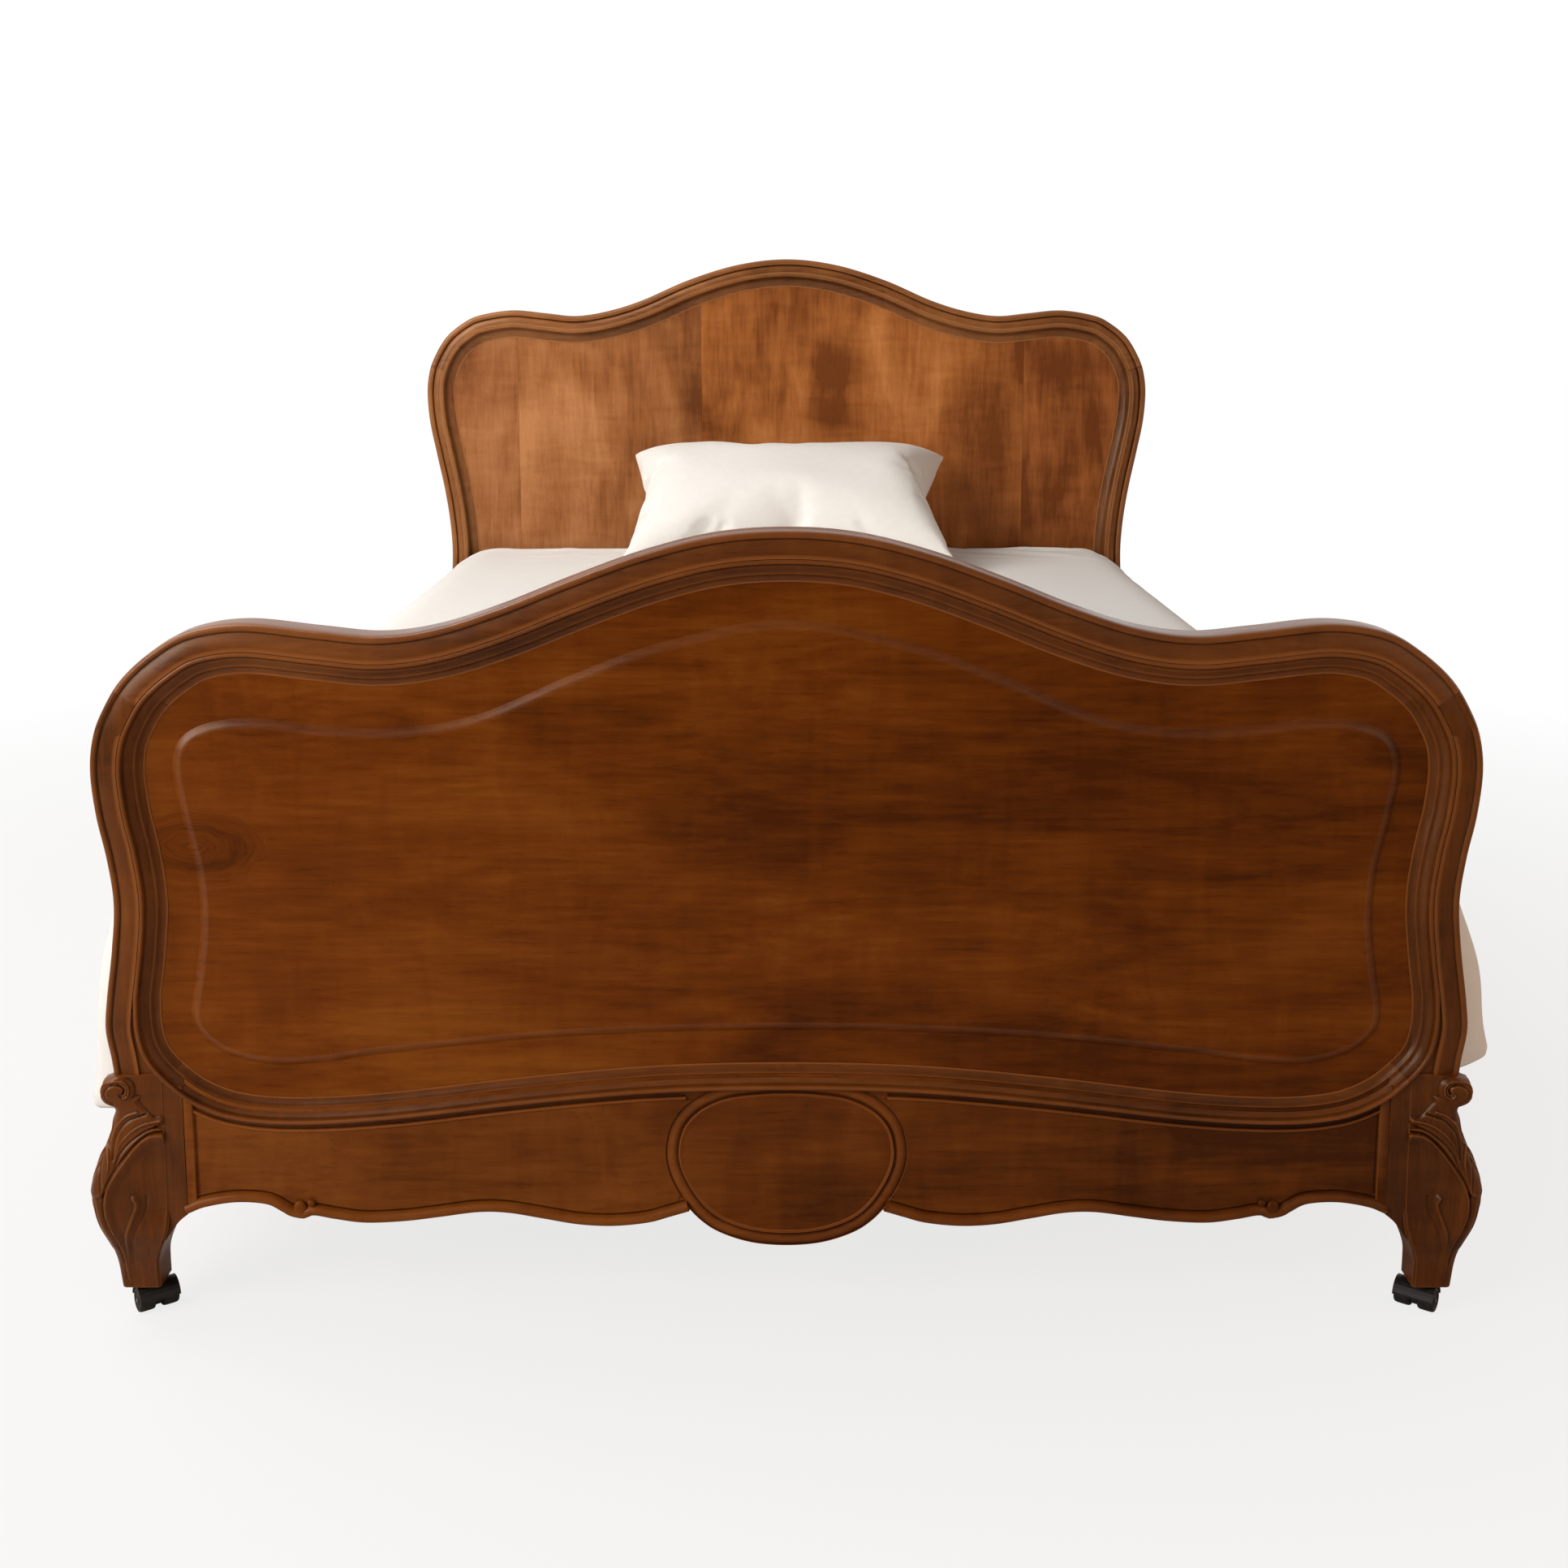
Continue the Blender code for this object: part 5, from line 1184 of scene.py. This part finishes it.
def bedding_layer(lift, bulge):
    """One layer of the cover as a grid bent over the bed, raised off the mattress. At the foot end the
    hanging sides bulge out and then turn in to a rounded corner."""
    right = smooth_line(UNDER, LINE_STEP)
    line = [Vector((-p.x, p.y)) for p in reversed(right[1:])] + right
    line = evenly(offset(line, -lift), LINE_STEP)
    short = [p for p in line if p.x < 0.6 or p.y > UNDER[-1][1] + HEM_LIFT]
    line = evenly(short, (len(short) - 1) * LINE_STEP / ACROSS)[:ACROSS + 1]
    reach = [0.0]
    for a, b in zip(line, line[1:]):
        reach.append(reach[-1] + (b - a).length)
    work = bmesh.new()
    cover_uv = work.loops.layers.uv.new("UVMap")
    bmesh.ops.create_grid(work, x_segments=ACROSS, y_segments=ALONG, size=1)
    over_bed = {}
    for vert in work.verts:
        i = round((vert.co.x + 1) / 2 * ACROSS)
        over_bed[vert] = reach[i]
        share = (vert.co.y + 1) / 2
        share -= CROWDED_ENDS * math.sin(2 * math.pi * share) / (2 * math.pi)
        end = (DUVET_ENDS[1] - DUVET_ENDS[0]) * share
        fall = max(0.0, (DROP_TOP - line[i].y) / DROP_LENGTH)
        belly = min(1.0, fall / BELLY_FULL) - BELLY_TAPER * max(0.0, fall - BELLY_FULL)
        width = (BULGE_RIGHT if line[i].x > 0 else BULGE_LEFT) * belly * bulge
        run = BULGE_PLACE if end < BULGE_PLACE else BULGE_RUN
        swell = 0.5 + 0.5 * math.cos(math.pi * min(1.0, abs(end - BULGE_PLACE) / run))
        turned_in = TURNED_CORNER * fall * max(0.0, 1 - end / TURNED_CORNER) ** 2
        out = math.copysign(1, line[i].x) * (width * swell - turned_in)
        droop = LEFT_DROOP * max(0.0, fall - 0.5) * swell if line[i].x < 0 else 0.0
        vert.co = (line[i].x + out, DUVET_ENDS[0] + end, line[i].y - droop)
    for face in work.faces:
        for corner in face.loops:
            corner[cover_uv].uv = (over_bed[corner.vert], corner.vert.co.y)
    return work


WHITE_COTTON = cotton("white_cotton", WHITE, 0.0006, 0.10)
former = laid_out(bedding_layer(0.001, 0.6), "former")
former_mesh = former.data
former.modifiers.new("solid", "COLLISION")
former.collision.thickness_outer = 0.004
former.collision.cloth_friction = 20
over = bedding_layer(LOFT, 1.0)
for vert in over.verts:
    rise = UNEVENNESS * mathutils.noise.noise(vert.co * 5)
    side = max(-1.0, min(1.0, vert.co.x / 0.75)) if abs(vert.co.x) > 0.69 else 0.0
    vert.co += Vector((rise * side, 0, rise * (1 - abs(side))))
over.verts.index_update()
sewn = [v.index for v in over.verts if v.is_boundary]
upper = laid_out(over, "upper")
upper.vertex_groups.new(name="sewn").add(sewn, 1.0, "REPLACE")
over_mesh = settle(upper, 22, vertex_group_mass="sewn", shrink_min=-0.012, gravity=0.5)
bpy.data.objects.remove(former)
cover = bmesh.new()
cover.from_mesh(over_mesh)
relaxed(cover, [v for v in cover.verts if abs(v.co.x) > 0.72 and not v.is_boundary], 10)
cover.from_mesh(former_mesh)
bmesh.ops.bridge_loops(cover, edges=[e for e in cover.edges if e.is_boundary])
duvet = finished(cover, "duvet_cover", WHITE_COTTON, 80)
softened(duvet)
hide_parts("duvet")
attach(duvet, "bed")


# Pillow: a 50 x 70 cm feather pillow in a plain white cotton case, sewn flat along all four sides, so that
# its corners stay pointed. It lies on the duvet and leans back on the head panel.

CASE_WIDTH = 0.715
CASE_HEIGHT = 0.520
CASE_OPEN = 0.025
PILLOW_VOLUME = 0.024
PILLOW_MIDDLE = (0.24, 0.16)
PILLOW_STRETCH = (1.03, 0.95)
PILLOW_LOFT = 0.235
PLUMP_ENDS = 0.6
PILLOW_LEAN = math.radians(24)
TOP_SEAM = (0.982, 0.852)
PANEL_FACE = 0.9925
DUVET_TOP = 0.6568
PILLOW_COTTON = cotton("pillow_cotton", WHITE, 0.0006, 0.10)
case = bmesh.new()
case_uv = case.loops.layers.uv.new("UVMap")
for way in (-1, 1):
    for vert in bmesh.ops.create_grid(case, x_segments=84, y_segments=60, size=1)["verts"]:
        u, v = vert.co.xy
        plump = max(0.0, (1 - u ** 4) * (1 - v ** 4))
        uneven = 1 + 0.3 * mathutils.noise.noise(Vector((2 * u, 2 * v, way)))
        vert.co = (CASE_WIDTH / 2 * u, CASE_HEIGHT / 2 * v, way * CASE_OPEN * plump * uneven)
case.normal_update()
for face in case.faces:
    for corner in face.loops:
        corner[case_uv].uv = corner.vert.co.xy
    if face.normal.z * face.calc_center_median().z < 0:
        face.normal_flip()
bmesh.ops.remove_doubles(case, verts=case.verts, dist=1e-5)
case_mesh = settle(laid_out(case, "filled"), 30, gravity=0.0, use_pressure=True, uniform_pressure_force=8,
                   use_pressure_volume=True, target_volume=PILLOW_VOLUME, tension_stiffness=40,
                   compression_stiffness=40, shear_stiffness=20, bending_stiffness=0.05)
case = bmesh.new()
case.from_mesh(case_mesh)
middle = [v for v in case.verts if abs(v.co.x) < PILLOW_MIDDLE[0] and abs(v.co.y) < PILLOW_MIDDLE[1]]
relaxed(case, middle, 8)
for vert in case.verts:
    u = min(1.0, abs(vert.co.x) / 0.35)
    vert.co.z *= 1 + PLUMP_ENDS * u ** 2 * (1 - u ** 8)
loft = max(v.co.z for v in case.verts) - min(v.co.z for v in case.verts)
bmesh.ops.scale(case, vec=(*PILLOW_STRETCH, PILLOW_LOFT / loft), verts=case.verts)
bmesh.ops.transform(case, matrix=Matrix.Rotation(PILLOW_LEAN, 4, "X"), verts=case.verts)
seam = max(case.verts, key=lambda v: v.co.y * math.cos(PILLOW_LEAN) + v.co.z * math.sin(PILLOW_LEAN)).co
bmesh.ops.translate(case, vec=(0, TOP_SEAM[0] - seam.y, TOP_SEAM[1] - seam.z), verts=case.verts)
for vert in case.verts:
    vert.co.z = max(vert.co.z, DUVET_TOP)
    vert.co.y = min(vert.co.y, PANEL_FACE)
pillow = finished(case, "pillow_in_case", PILLOW_COTTON, 80)
softened(pillow)
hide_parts("pillow")
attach(pillow, "bed")
